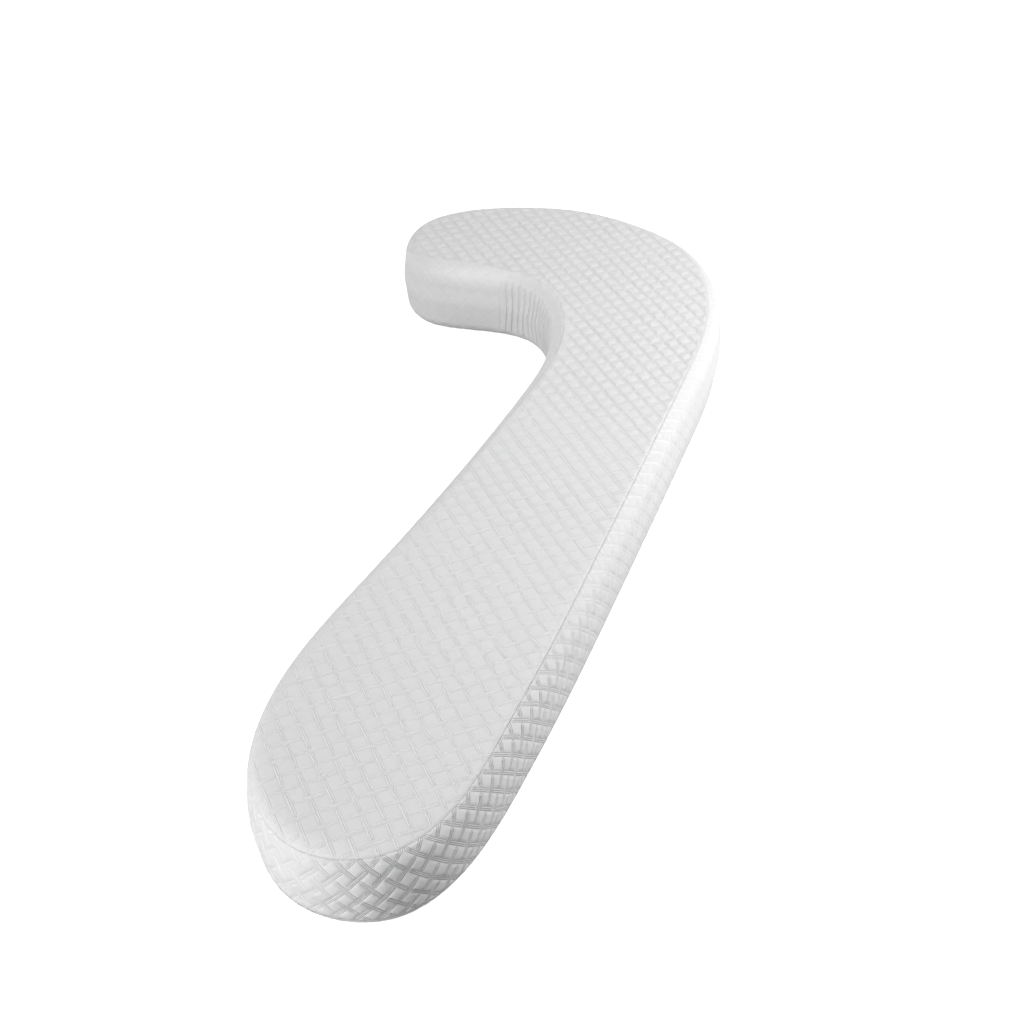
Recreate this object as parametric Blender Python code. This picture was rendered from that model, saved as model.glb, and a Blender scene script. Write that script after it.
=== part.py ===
"""J-shaped body pillow: a filled boxing strip with a quilted panel sewn on above and below.

The pillow lies flat. +Y runs along the straight shaft towards the hook, +Z is up, and the
origin is under the middle of its outline, on the surface it lies on. Units are metres.
"""
import math
from collections import namedtuple

import bmesh
import bpy
import numpy as np
from mathutils import Vector
from mathutils.geometry import delaunay_2d_cdt

MM = 0.001

# Driving dimensions of the filled slab
THICKNESS = 124 * MM          # from the surface to the top of the quilting
EDGE_RADIUS = 33 * MM         # rounding of the upper and lower edges
PANEL_THICKNESS = 4 * MM      # quilted cover panel with its wadding
SEAM_DEPTH = 1.5 * MM         # how far the cover is drawn in along a seam
SEAM_GAP = 0.5 * MM           # between two sewn edges
LAYER_GAP = 0.4 * MM          # between a panel and the filled body under it
LOWER_SEAM_ANGLE = 25         # degrees round the lower edge, from its side

# Quilting: a square lattice that runs diagonally to the shaft, each cell puffed
QUILT_PITCH = 21.4 * MM       # between two parallel stitch lines
PUFF_RISE = 2.2 * MM          # middle of a cell above its stitch lines
QUILT_STEP = QUILT_PITCH / math.sqrt(2)
RIM_CLEARANCE = 6.5 * MM      # no lattice point of a panel lies nearer its seam than this

# Boxing strip
COLUMNS = 252                 # lattice points once round the outline, an even number
ROWS = 8                      # lattice rows between the two seams
GATHER_RISE = 3 * MM          # soft upright folds where the hook's inner side is drawn together

# Cap of each flat inner face starts this far in from the outline
CAP_INSET = EDGE_RADIUS + 2 * MM
ROUNDING_STEPS = 3
CURVE_SAMPLES = 4000

# Widest line of the pillow, once round from the near end, in millimetres.
# seam: degrees round the upper edge from its side, where the top panel is sewn on.
OutlineRow = namedtuple("OutlineRow", "place x y seam")
OUTLINE = (
    OutlineRow("near end, middle", 142, -748, 41),
    OutlineRow("near end, right", 229, -733, 50),
    OutlineRow("shaft right, near", 308, -503, 69),
    OutlineRow("shaft right, middle", 312, -182, 75),
    OutlineRow("shaft right, far", 307, 252, 80),
    OutlineRow("hook, outer right", 284, 483, 80),
    OutlineRow("hook, outer shoulder", 166, 682, 74),
    OutlineRow("hook, outer top right", 81, 727, 72),
    OutlineRow("hook, outer top", -56, 749, 70),
    OutlineRow("hook, outer top left", -142, 731, 70),
    OutlineRow("hook, tip", -313, 575, 70),
    OutlineRow("hook, tip lower corner", -241, 434, 72),
    OutlineRow("hook, inner top", -53, 438, 74),
    OutlineRow("hook, inner corner", 25, 350, 74),
    OutlineRow("shaft left, far", 51, 137, 66),
    OutlineRow("shaft left, middle", 40, -51, 58),
    OutlineRow("shaft left, near", 11, -340, 50),
    OutlineRow("near end, widest left", 6, -581, 42),
    OutlineRow("near end, left", 47, -683, 38),
)

# Stretch of the outline, in shares of its length, where the inner side is gathered
GATHER_START = 0.648
GATHER_END = 0.705

WHITE_KNIT = (0.87, 0.875, 0.885, 1.0)
WHITE_BOXING = (0.86, 0.865, 0.88, 1.0)
KNIT_ROUGHNESS = 0.92

SLAB_TOP = THICKNESS - PUFF_RISE      # level of the stitch lines on the flat top


# ---------------------------------------------------------------- outline


def closed_spline(rows):
    """Return a function of chord distance for the smooth closed curve through the rows."""
    loop = np.vstack([rows, rows[:1]])
    chord = np.linalg.norm(np.diff(loop[:, :2], axis=0), axis=1)
    start = np.concatenate([[0.0], np.cumsum(chord)])
    count = len(rows)
    matrix = np.zeros((count, count))
    right = np.zeros_like(rows)
    for k in range(count):
        before, after = chord[k - 1], chord[k]
        matrix[k, k - 1] += before
        matrix[k, k] += 2 * (before + after)
        matrix[k, (k + 1) % count] += after
        ahead = (loop[k + 1] - loop[k]) / after
        behind = (rows[k] - rows[k - 1]) / before
        right[k] = 6 * (ahead - behind)
    bend = np.linalg.solve(matrix, right)
    bend = np.vstack([bend, bend[:1]])

    def point(distance):
        k = np.clip(np.searchsorted(start, distance, side="right") - 1, 0, count - 1)
        span = chord[k][:, None]
        ahead = distance[:, None] - start[k][:, None]
        back = span - ahead
        curved = (bend[k] * back**3 + bend[k + 1] * ahead**3) / (6 * span)
        lower = (loop[k] / span - bend[k] * span / 6) * back
        upper = (loop[k + 1] / span - bend[k + 1] * span / 6) * ahead
        return curved + lower + upper

    return point, start[-1]


def even_outline(count):
    """Places, outward normals and seam angles at even steps once round the outline."""
    rows = np.array([(row.x * MM, row.y * MM, row.seam) for row in OUTLINE])
    point, total = closed_spline(rows)
    dense = point(np.linspace(0, total, CURVE_SAMPLES))
    middle = (dense[:, :2].max(axis=0) + dense[:, :2].min(axis=0)) / 2
    dense[:, :2] -= middle
    walked = np.concatenate([[0], np.cumsum(np.linalg.norm(np.diff(dense[:, :2], axis=0), axis=1))])
    wanted = np.arange(count) * walked[-1] / count
    even = np.column_stack([np.interp(wanted, walked, dense[:, axis]) for axis in range(3)])
    ahead = np.roll(even[:, :2], -1, axis=0) - np.roll(even[:, :2], 1, axis=0)
    ahead /= np.linalg.norm(ahead, axis=1)[:, None]
    normals = np.column_stack([ahead[:, 1], -ahead[:, 0]])
    return even[:, :2], normals, np.radians(even[:, 2])


PLACES, NORMALS, SEAM_ANGLES = even_outline(COLUMNS)
FINE_PLACES = even_outline(CURVE_SAMPLES)[0]


def ring(inset, height):
    """One closed row of points, inset from the outline at a height; both may vary round it."""
    inset = np.broadcast_to(inset, (COLUMNS,))
    height = np.broadcast_to(height, (COLUMNS,))
    flat = PLACES - NORMALS * inset[:, None]
    return np.column_stack([flat, height])


# ---------------------------------------------------------------- section of the slab


def upper_edge(angle, sink=0.0):
    """Inset and height on the rounded upper edge, sunk into it by a depth."""
    radius = EDGE_RADIUS - sink
    inset = EDGE_RADIUS - radius * np.cos(angle)
    height = SLAB_TOP - EDGE_RADIUS + radius * np.sin(angle)
    return inset, height


def lower_edge(angle, sink=0.0):
    """Inset and height on the rounded lower edge, sunk into it by a depth."""
    radius = EDGE_RADIUS - sink
    inset = EDGE_RADIUS - radius * np.cos(angle)
    height = EDGE_RADIUS - radius * np.sin(angle)
    return inset, height


def boxing_section(top_angle, share, rise):
    """Inset and height at a share of the way down from the upper to the lower seam."""
    low_angle = math.radians(LOWER_SEAM_ANGLE)
    upright = SLAB_TOP - 2 * EDGE_RADIUS
    top_arc = EDGE_RADIUS * top_angle
    walked = share * (top_arc + upright + EDGE_RADIUS * low_angle)
    on_top = upper_edge(top_angle - walked / EDGE_RADIUS, -rise)
    on_side = (-rise, SLAB_TOP - EDGE_RADIUS - (walked - top_arc))
    on_bottom = lower_edge((walked - top_arc - upright) / EDGE_RADIUS, -rise)
    picks = [walked < top_arc, walked < top_arc + upright]
    inset = np.select(picks, [on_top[0], on_side[0]], on_bottom[0])
    height = np.select(picks, [on_top[1], on_side[1]], on_bottom[1])
    return inset + PUFF_RISE, height


def crown_height(inset):
    """Height of the stitch lines on the top, that far in from the outline."""
    across = np.clip(EDGE_RADIUS - inset, 0, EDGE_RADIUS)
    return SLAB_TOP - EDGE_RADIUS + np.sqrt(EDGE_RADIUS**2 - across**2)


# ---------------------------------------------------------------- mesh helpers


def add_ring(mesh, points):
    """Add one closed row of points."""
    return [mesh.verts.new(point) for point in points]


def bridge(mesh, upper, lower):
    """Join two rows of points with quads that face outwards."""
    for k in range(COLUMNS):
        following = (k + 1) % COLUMNS
        mesh.faces.new((lower[k], lower[following], upper[following], upper[k]))


def bridge_lattice(mesh, upper, lower, row):
    """Join two lattice rows with triangles whose long sides lie on the stitch lines."""
    for k in range(COLUMNS):
        following = (k + 1) % COLUMNS
        corners = (lower[k], lower[following], upper[following], upper[k])
        first = 1 if (k + row) % 2 == 0 else 0
        a, b, c, d = corners[first:] + corners[:first]
        mesh.faces.new((a, b, c))
        mesh.faces.new((c, d, a))


def fill_flat(mesh, border, inner=(), inner_heights=(), creases=(), faces_up=True):
    """Fill a closed row of points with triangles, through points and creases inside it."""
    flat = [Vector(vert.co[:2]) for vert in border] + [Vector(place) for place in inner]
    edges = [(k, (k + 1) % len(border)) for k in range(len(border))]
    edges += [(len(border) + a, len(border) + b) for a, b in creases]
    inside_only = 1
    result = delaunay_2d_cdt(flat, edges, [], inside_only, MM * 0.01)
    faces, sources = result[2], result[3]
    verts = list(border)
    verts += [mesh.verts.new((*place, height)) for place, height in zip(inner, inner_heights)]
    for face in faces:
        corners = [verts[sources[k][0]] for k in face]
        mesh.faces.new(corners if faces_up else corners[::-1])


def finish_object(name, mesh, color):
    """Turn the mesh into a named object with its own material."""
    bmesh.ops.recalc_face_normals(mesh, faces=mesh.faces)
    data = bpy.data.meshes.new(name)
    mesh.to_mesh(data)
    mesh.free()
    material = bpy.data.materials.new(name + "_cloth")
    material.use_nodes = True
    shader = material.node_tree.nodes["Principled BSDF"]
    shader.inputs["Base Color"].default_value = color
    shader.inputs["Roughness"].default_value = KNIT_ROUGHNESS
    shader.inputs["Metallic"].default_value = 0.0
    data.materials.append(material)
    piece = bpy.data.objects.new(name, data)
    bpy.context.scene.collection.objects.link(piece)
    return piece


# ---------------------------------------------------------------- the pieces


def panel_lattice():
    """Quilting of the top panel: places, insets, which are middles of cells, stitch lines."""
    reach = np.abs(FINE_PLACES).max(axis=0)
    half = np.ceil(reach / QUILT_STEP).astype(int)
    steps = [(m, n) for m in range(-half[0], half[0] + 1) for n in range(-half[1], half[1] + 1)]
    steps = np.array(steps)
    places = steps * QUILT_STEP
    away = places[:, None] - FINE_PLACES[None, ::4]
    distance = np.linalg.norm(away, axis=2)
    nearest = distance.argmin(axis=1) * 4
    inset = distance.min(axis=1)
    share = nearest / CURVE_SAMPLES
    seam_angle = np.interp(share * COLUMNS, np.arange(COLUMNS), SEAM_ANGLES)
    seam_inset = upper_edge(seam_angle)[0] + PUFF_RISE
    keep = within_outline(places) & (inset > seam_inset + RIM_CLEARANCE)
    steps, places, inset = steps[keep], places[keep], inset[keep]
    is_middle = (steps.sum(axis=1) % 2) == 1
    index = {tuple(step): k for k, step in enumerate(steps)}
    creases = []
    for (m, n), k in index.items():
        for neighbour in ((m + 1, n + 1), (m + 1, n - 1)):
            if not is_middle[k] and neighbour in index:
                creases.append((k, index[neighbour]))
    return places, inset, is_middle, creases


def within_outline(places):
    """True for each place that lies inside the outline."""
    start = FINE_PLACES
    end = np.roll(start, -1, axis=0)
    inside = np.zeros(len(places), dtype=bool)
    for (x0, y0), (x1, y1) in zip(start, end):
        if y0 == y1:
            continue
        spans = (places[:, 1] >= min(y0, y1)) & (places[:, 1] < max(y0, y1))
        crossing = x0 + (places[:, 1] - y0) * (x1 - x0) / (y1 - y0)
        inside ^= spans & (places[:, 0] < crossing)
    return inside


def top_panel():
    """Quilted panel over the top, turned down over the rounded edge to the upper seam."""
    mesh = bmesh.new()
    half_gap = SEAM_GAP / 2 / EDGE_RADIUS
    sewn = SEAM_ANGLES + half_gap
    inset, height = upper_edge(sewn, SEAM_DEPTH)
    seam = add_ring(mesh, ring(inset + PUFF_RISE, height))
    inset, height = upper_edge(sewn, SEAM_DEPTH + PANEL_THICKNESS)
    edge = add_ring(mesh, ring(inset + PUFF_RISE, height))
    cap = add_ring(mesh, ring(CAP_INSET + PUFF_RISE, SLAB_TOP - PANEL_THICKNESS))
    places, insets, is_middle, creases = panel_lattice()
    heights = crown_height(insets - PUFF_RISE) + np.where(is_middle, PUFF_RISE, 0)
    fill_flat(mesh, seam, places, heights, creases)
    bridge(mesh, seam, edge)
    bridge(mesh, edge, cap)
    fill_flat(mesh, cap, faces_up=False)
    return finish_object("top_panel", mesh, WHITE_KNIT)


def boxing_rise(row):
    """How far each point of a lattice row stands out: puffed cells, or upright gathers."""
    column = np.arange(COLUMNS)
    share = column / COLUMNS
    gathered = (share > GATHER_START) & (share < GATHER_END)
    puffed = np.where((column + row) % 2 == 1, PUFF_RISE, 0)
    folded = np.where(column % 2 == 1, GATHER_RISE, 0)
    return np.where(gathered, folded, puffed)


def side_panel():
    """Boxing strip with the filling that it holds, stepped in under both cover panels."""
    mesh = bmesh.new()
    tuck = PANEL_THICKNESS + LAYER_GAP
    half_gap = SEAM_GAP / 2 / EDGE_RADIUS
    upper_sewn = SEAM_ANGLES - half_gap
    lower_sewn = math.radians(LOWER_SEAM_ANGLE) - half_gap
    rings = [add_ring(mesh, ring(CAP_INSET + PUFF_RISE, SLAB_TOP - tuck))]
    inset, height = upper_edge(upper_sewn, SEAM_DEPTH + tuck)
    rings.append(add_ring(mesh, ring(inset + PUFF_RISE, height)))
    inset, height = upper_edge(upper_sewn, SEAM_DEPTH)
    rings.append(add_ring(mesh, ring(inset + PUFF_RISE, height)))
    for row in range(1, ROWS):
        inset, height = boxing_section(SEAM_ANGLES, row / ROWS, boxing_rise(row))
        rings.append(add_ring(mesh, ring(inset, height)))
    inset, height = lower_edge(lower_sewn, SEAM_DEPTH)
    rings.append(add_ring(mesh, ring(inset + PUFF_RISE, height)))
    inset, height = lower_edge(lower_sewn, SEAM_DEPTH + tuck)
    rings.append(add_ring(mesh, ring(inset + PUFF_RISE, height)))
    rings.append(add_ring(mesh, ring(CAP_INSET + PUFF_RISE, tuck)))
    first_row = 2
    for k in range(len(rings) - 1):
        row = k - first_row
        if 0 <= row < ROWS:
            bridge_lattice(mesh, rings[k], rings[k + 1], row)
        else:
            bridge(mesh, rings[k], rings[k + 1])
    fill_flat(mesh, rings[0])
    fill_flat(mesh, rings[-1], faces_up=False)
    return finish_object("side_panel", mesh, WHITE_BOXING)


def bottom_panel():
    """Panel under the pillow, flat where it rests and turned up to the lower seam."""
    mesh = bmesh.new()
    half_gap = SEAM_GAP / 2 / EDGE_RADIUS
    sewn = math.radians(LOWER_SEAM_ANGLE) + half_gap
    rings = [add_ring(mesh, ring(CAP_INSET + PUFF_RISE, PANEL_THICKNESS))]
    inset, height = lower_edge(sewn, SEAM_DEPTH + PANEL_THICKNESS)
    rings.append(add_ring(mesh, ring(inset + PUFF_RISE, height)))
    inset, height = lower_edge(sewn, SEAM_DEPTH)
    rings.append(add_ring(mesh, ring(inset + PUFF_RISE, height)))
    for step in range(1, ROUNDING_STEPS + 1):
        angle = sewn + (math.pi / 2 - sewn) * step / ROUNDING_STEPS
        rings.append(add_ring(mesh, ring(*lower_edge(angle))))
    for k in range(len(rings) - 1):
        bridge(mesh, rings[k], rings[k + 1])
    fill_flat(mesh, rings[0])
    fill_flat(mesh, rings[-1], faces_up=False)
    return finish_object("bottom_panel", mesh, WHITE_KNIT)


def clear_scene():
    """Remove whatever the file holds already."""
    for piece in list(bpy.data.objects):
        bpy.data.objects.remove(piece, do_unlink=True)


def main():
    clear_scene()
    top_panel()
    side_panel()
    bottom_panel()


main()
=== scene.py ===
"""Looks of a J-shaped body pillow in a white quilted knit cover.

Lengths are in metres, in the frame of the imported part: +Y runs along the straight shaft
towards the hook, +X is to its right and +Z is up. A place on a cloth is given in lattice
steps (u, v) of its quilting: stitch lines cross at whole numbers.
"""

import logging
import math
from abc import ABC, abstractmethod
from dataclasses import dataclass, field
from enum import Enum

import bpy
import numpy as np
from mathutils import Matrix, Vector
from mathutils.geometry import delaunay_2d_cdt
from mathutils.kdtree import KDTree


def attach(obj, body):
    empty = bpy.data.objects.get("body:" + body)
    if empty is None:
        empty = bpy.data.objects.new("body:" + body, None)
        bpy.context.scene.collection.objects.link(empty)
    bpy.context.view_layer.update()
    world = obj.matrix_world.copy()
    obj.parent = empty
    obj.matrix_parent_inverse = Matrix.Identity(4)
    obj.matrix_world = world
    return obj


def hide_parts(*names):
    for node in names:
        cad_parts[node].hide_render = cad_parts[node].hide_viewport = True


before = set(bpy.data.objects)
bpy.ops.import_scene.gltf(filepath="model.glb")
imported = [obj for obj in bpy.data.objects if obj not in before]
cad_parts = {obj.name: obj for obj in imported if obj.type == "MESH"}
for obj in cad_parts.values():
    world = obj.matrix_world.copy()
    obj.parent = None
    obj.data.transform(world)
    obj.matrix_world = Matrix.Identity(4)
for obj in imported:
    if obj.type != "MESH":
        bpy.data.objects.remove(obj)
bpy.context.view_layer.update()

MM = 0.001
TURN = 2 * math.pi
QUARTER = math.pi / 2
WHITE = (1.0, 1.0, 1.0, 1.0)
Colour = tuple[float, float, float, float]
Socket = bpy.types.NodeSocket
log = logging.getLogger("body_pillow")


# ------------------------------------------------------------------ small helpers


@dataclass(frozen=True)
class SwayingWave:
    """A wave that sways with the coordinate across it. Its angles are in radians."""

    pace: float  # crests in the length of the ripple
    phase: float
    sway: float
    sway_pace: float
    sway_phase: float

    def heights(self, along: np.ndarray, across: np.ndarray, turn: float) -> np.ndarray:
        """Heights from -1 to 1, where turn is in radians to a unit of the coordinates."""
        sway = self.sway * np.sin(self.sway_pace * turn * across + self.sway_phase)
        return np.sin(self.pace * turn * along + self.phase + sway)


RIPPLE_WAVES = (
    SwayingWave(pace=1.0, phase=0.0, sway=1.3, sway_pace=0.7, sway_phase=0.5),
    SwayingWave(pace=0.9, phase=1.7, sway=1.1, sway_pace=0.6, sway_phase=2.1),
)


def ripple(x: np.ndarray, y: np.ndarray, length: float) -> np.ndarray:
    """Soft, repeatable waviness between -1 and 1.

    Args:
        x: First coordinate of each point.
        y: Second coordinate of each point.
        length: Rough distance between two crests.

    Returns:
        One value for each point.
    """
    turn = TURN / length
    first, second = RIPPLE_WAVES
    return (first.heights(x, y, turn) + second.heights(y, x, turn)) / 2


def bell(distance: np.ndarray, width: float) -> np.ndarray:
    """A smooth hump that is 1 at no distance and fades over a width."""
    return np.exp(-((distance / width) ** 2))


def smooth_step(value: np.ndarray, low: float, high: float) -> np.ndarray:
    """0 below low and 1 above high, with a smooth rise between them."""
    share = np.clip((value - low) / (high - low), 0, 1)
    return share * share * (3 - 2 * share)


# ------------------------------------------------------------------ outline and section


@dataclass(frozen=True)
class OutlinePoint:
    """A point that the widest line of the pillow passes through, in millimetres."""

    place: str
    x: float
    y: float


OUTLINE_POINTS = (
    OutlinePoint("near end, middle", 142, -748),
    OutlinePoint("near end, right", 229, -733),
    OutlinePoint("shaft right, near", 308, -503),
    OutlinePoint("shaft right, middle", 312, -182),
    OutlinePoint("shaft right, far", 307, 252),
    OutlinePoint("hook, outer right", 284, 483),
    OutlinePoint("hook, outer shoulder", 166, 682),
    OutlinePoint("hook, outer top right", 81, 727),
    OutlinePoint("hook, outer top", -56, 749),
    OutlinePoint("hook, outer top left", -142, 731),
    OutlinePoint("hook, tip", -313, 575),
    OutlinePoint("hook, tip lower corner", -241, 434),
    OutlinePoint("hook, inner top", -53, 438),
    OutlinePoint("hook, inner corner", 25, 350),
    OutlinePoint("shaft left, far", 51, 137),
    OutlinePoint("shaft left, middle", 40, -51),
    OutlinePoint("shaft left, near", 11, -340),
    OutlinePoint("near end, widest left", 6, -581),
    OutlinePoint("near end, left", 47, -683),
)


@dataclass(frozen=True)
class SeamMark:
    """The upper seam at one place round the outline."""

    place: str
    around: float  # share of the outline's length, counterclockwise from the near end
    angle: float  # degrees round the upper edge from its side; past 90 it lies on the top
    depth: float  # how far the stitches draw the cloth in, in millimetres
    puff: float  # share of the quilting's height that the strip keeps below it


SEAM_MARKS = (
    SeamMark("near end, middle", 0.000, 41, 1.0, 0.75),
    SeamMark("near end, right", 0.024, 50, 1.3, 1.1),
    SeamMark("shaft right, near", 0.091, 69, 1.3, 1.1),
    SeamMark("shaft right, middle", 0.176, 75, 1.2, 0.7),
    SeamMark("shaft right, halfway", 0.240, 78, 0.9, 0.6),
    SeamMark("shaft right, far", 0.290, 80, 0.35, 0.35),
    SeamMark("hook, outer right", 0.352, 80, 0.3, 0.3),
    SeamMark("hook, outer top", 0.477, 70, 0.4, 0.4),
    SeamMark("hook, outer top left", 0.535, 55, 0.6, 0.3),
    SeamMark("hook, tip", 0.565, 24, 0.7, 0.2),
    SeamMark("hook, tip end", 0.582, 24, 0.8, 0.15),
    SeamMark("hook, tip lower corner", 0.604, 89, 0.3, 0.3),
    SeamMark("hook, inner left", 0.618, 108, 0.15, 0.4),
    SeamMark("hook, inner top", 0.636, 108, 0.15, 0.35),
    SeamMark("hook, inner bend", 0.652, 80, 0.25, 0.1),
    SeamMark("hook, inner corner", 0.690, 77, 0.3, 0.1),
    SeamMark("shaft left, far", 0.749, 66, 0.5, 0.4),
    SeamMark("shaft left, middle", 0.799, 58, 0.9, 0.4),
    SeamMark("shaft left, near", 0.876, 50, 0.8, 0.35),
    SeamMark("near end, widest left", 0.940, 42, 0.35, 0.25),
    SeamMark("near end, left", 0.969, 38, 0.4, 0.45),
)


@dataclass(frozen=True)
class Slab:
    """Section of the filled pillow, the same all round it."""

    thickness: float = 124 * MM
    edge_radius: float = 33 * MM
    waist: float = 3 * MM  # how far the side is drawn in above and below its middle
    lower_seam: float = math.radians(25)  # round the lower edge, from its side
    panel_thickness: float = 4 * MM
    layer_gap: float = 0.4 * MM
    seam_gap: float = 0.5 * MM
    cap_inset: float = 52 * MM  # where the flat inner faces start

    @property
    def upright(self) -> float:
        """Height of the straight part of the side."""
        return self.thickness - 2 * self.edge_radius

    def side(self, down: np.ndarray) -> tuple[np.ndarray, np.ndarray, np.ndarray, np.ndarray]:
        """Follows the side from the top face to the bottom one.

        Args:
            down: Distance along the cloth from the upper end of the straight part,
                negative on the upper rounding.

        Returns:
            Inset from the outline, height, and the outward and upward parts of the normal.
        """
        radius = self.edge_radius
        upper = np.maximum(-down, 0) / radius
        lower = np.maximum(down - self.upright, 0) / radius
        angle = np.minimum(upper, QUARTER) - np.minimum(lower, QUARTER)
        on_face = np.maximum(upper + lower - QUARTER, 0) * radius
        inset = radius * (1 - np.cos(angle)) + on_face
        straight = np.clip(down, 0, self.upright)
        height = self.thickness - radius - straight + radius * np.sin(angle)
        above_middle = height / self.thickness - 0.5
        inset = inset + self.waist * np.sin(TURN * above_middle) ** 2
        return inset, height, np.cos(angle), np.sin(angle)


class Outline:
    """Smooth closed curve through the outline points, counterclockwise from the near end."""

    SAMPLES = 6000
    SEAM_EASE = 30  # samples over which the seam bends from one mark's course to the next
    EASE_REACH = 3 * SEAM_EASE  # samples on each side that count in the easing

    def __init__(self, points: tuple[OutlinePoint, ...], marks: tuple[SeamMark, ...]) -> None:
        """Samples the curve evenly.

        Args:
            points: Where the widest line of the pillow passes.
            marks: Where the upper seam runs.
        """
        dense = self._spline(np.array([(p.x * MM, p.y * MM) for p in points]), self.SAMPLES)
        dense -= (dense.max(axis=0) + dense.min(axis=0)) / 2
        steps = np.linalg.norm(np.diff(dense, axis=0), axis=1)
        walked = np.concatenate([[0.0], np.cumsum(steps)])
        self.length = float(walked[-1])
        wanted = np.linspace(0, self.length, self.SAMPLES + 1)
        even = [np.interp(wanted, walked, dense[:, axis]) for axis in range(2)]
        self._places = np.column_stack(even)
        around = [mark.around for mark in marks]
        self._seams = self._eased(around, [math.radians(mark.angle) for mark in marks])
        self._depths = self._eased(around, [mark.depth * MM for mark in marks])
        self._puffs = self._eased(around, [mark.puff for mark in marks])
        ahead = np.gradient(self._places, axis=0)
        ahead[0] = ahead[-1] = self._places[1] - self._places[-2]
        ahead /= np.linalg.norm(ahead, axis=1)[:, None]
        self._normals = np.column_stack([ahead[:, 1], -ahead[:, 0]])
        self._tree = KDTree(self.SAMPLES)
        for k, place in enumerate(self._places[:-1]):
            self._tree.insert((*place, 0.0), k)
        self._tree.balance()

    def _eased(self, around: list[float], values: list[float]) -> np.ndarray:
        """Table of a value that runs smoothly from mark to mark.

        Args:
            around: Shares of the outline's length.
            values: The value at each.

        Returns:
            The value at each sample, the first one repeated at the end.
        """
        shares = np.arange(self.SAMPLES) / self.SAMPLES
        table = np.interp(shares, around, values, period=1.0)
        reach = self.EASE_REACH
        weights = bell(np.arange(-reach, reach + 1), float(self.SEAM_EASE))
        wrapped = np.concatenate([table[-reach:], table, table[:reach]])
        table = np.convolve(wrapped, weights / weights.sum(), mode="valid")
        return np.append(table, table[0])

    @staticmethod
    def _spline(rows: np.ndarray, samples: int) -> np.ndarray:
        """Closed cubic spline through rows, by distance between them.

        Args:
            rows: Points, one in each row.
            samples: Number of points wanted.

        Returns:
            The points of the curve, the first one repeated at the end.
        """
        loop = np.vstack([rows, rows[:1]])
        chord = np.linalg.norm(np.diff(loop, axis=0), axis=1)
        start = np.concatenate([[0.0], np.cumsum(chord)])
        count = len(rows)
        # The second derivatives at the rows solve one closed system of equations.
        matrix, right = np.zeros((count, count)), np.zeros_like(rows)
        for k in range(count):
            before, after = chord[k - 1], chord[k]
            matrix[k, k - 1] += before
            matrix[k, k] += 2 * (before + after)
            matrix[k, (k + 1) % count] += after
            right[k] = 6 * ((loop[k + 1] - loop[k]) / after - (rows[k] - rows[k - 1]) / before)
        bend = np.linalg.solve(matrix, right)
        bend = np.vstack([bend, bend[:1]])
        distance = np.linspace(0, start[-1], samples)
        k = np.clip(np.searchsorted(start, distance, side="right") - 1, 0, count - 1)
        span = chord[k][:, None]
        ahead = distance[:, None] - start[k][:, None]
        back = span - ahead
        curved = (bend[k] * back**3 + bend[k + 1] * ahead**3) / (6 * span)
        lower = (loop[k] / span - bend[k] * span / 6) * back
        upper = (loop[k + 1] / span - bend[k + 1] * span / 6) * ahead
        return curved + lower + upper

    def _read(self, table: np.ndarray, walked: np.ndarray) -> np.ndarray:
        """Reads a table of the curve between its samples.

        Args:
            table: One value or row for each sample.
            walked: Distances along the curve.

        Returns:
            The table's value or row at each distance.
        """
        at = np.mod(walked, self.length) / self.length * self.SAMPLES
        low = np.floor(at).astype(int) % self.SAMPLES
        share = at - np.floor(at)
        if table.ndim == 2:
            share = share[:, None]
        return table[low] * (1 - share) + table[low + 1] * share

    def even(self, count: int) -> np.ndarray:
        """Distances along the curve of evenly spaced points."""
        return np.arange(count) * self.length / count

    def places(self, walked: np.ndarray) -> np.ndarray:
        """Points of the curve at distances along it."""
        return self._read(self._places, walked)

    def normals(self, walked: np.ndarray) -> np.ndarray:
        """Outward normals of the curve at distances along it."""
        normals = self._read(self._normals, walked)
        return normals / np.linalg.norm(normals, axis=1)[:, None]

    def inside(self, walked: np.ndarray, inset: np.ndarray | float) -> np.ndarray:
        """Points straight inside the curve, by an inset for each or for all."""
        inset = np.broadcast_to(inset, len(walked))
        return self.places(walked) - self.normals(walked) * inset[:, None]

    def seams(self, walked: np.ndarray) -> np.ndarray:
        """Angle of the upper seam round the edge at distances along the curve."""
        return self._read(self._seams, walked)

    def depths(self, walked: np.ndarray) -> np.ndarray:
        """How far the upper seam draws the cloth in at distances along the curve."""
        return self._read(self._depths, walked)

    def puffs(self, walked: np.ndarray) -> np.ndarray:
        """Share of the quilting's height that the boxing strip keeps along the curve."""
        return self._read(self._puffs, walked)

    def nearest(self, flat: np.ndarray) -> tuple[np.ndarray, np.ndarray]:
        """Finds where the curve passes nearest to each point.

        Args:
            flat: Points in the plane of the outline.

        Returns:
            Distance along the curve, and how far the point lies inside it.
        """
        found = np.array([self._tree.find((x, y, 0.0))[1] for x, y in flat])
        away = flat - self._places[found]
        normals = self._normals[found]
        ahead = np.column_stack([-normals[:, 1], normals[:, 0]])
        walked = found * (self.length / self.SAMPLES) + (away * ahead).sum(axis=1)
        return walked, -(away * normals).sum(axis=1)


# ------------------------------------------------------------------ quilting


# Mesh lines of one lattice step of each cloth, in millimetres from a stitch line. They lie
# close together where the stitches are.
TOP_LINES = (0, 1.3, 2.1, 3.2, 5.9, 10.68, 15.47, 18.17, 19.27, 20.07)
STRIP_LINES = (0, 1.3, 2.1, 3.2, 7.4, 13.97, 18.17, 19.27, 20.07)
BASE_LINES = (0, 1.3, 2.5, 5.5, 10.68, 15.87, 18.87, 20.07)


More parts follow.
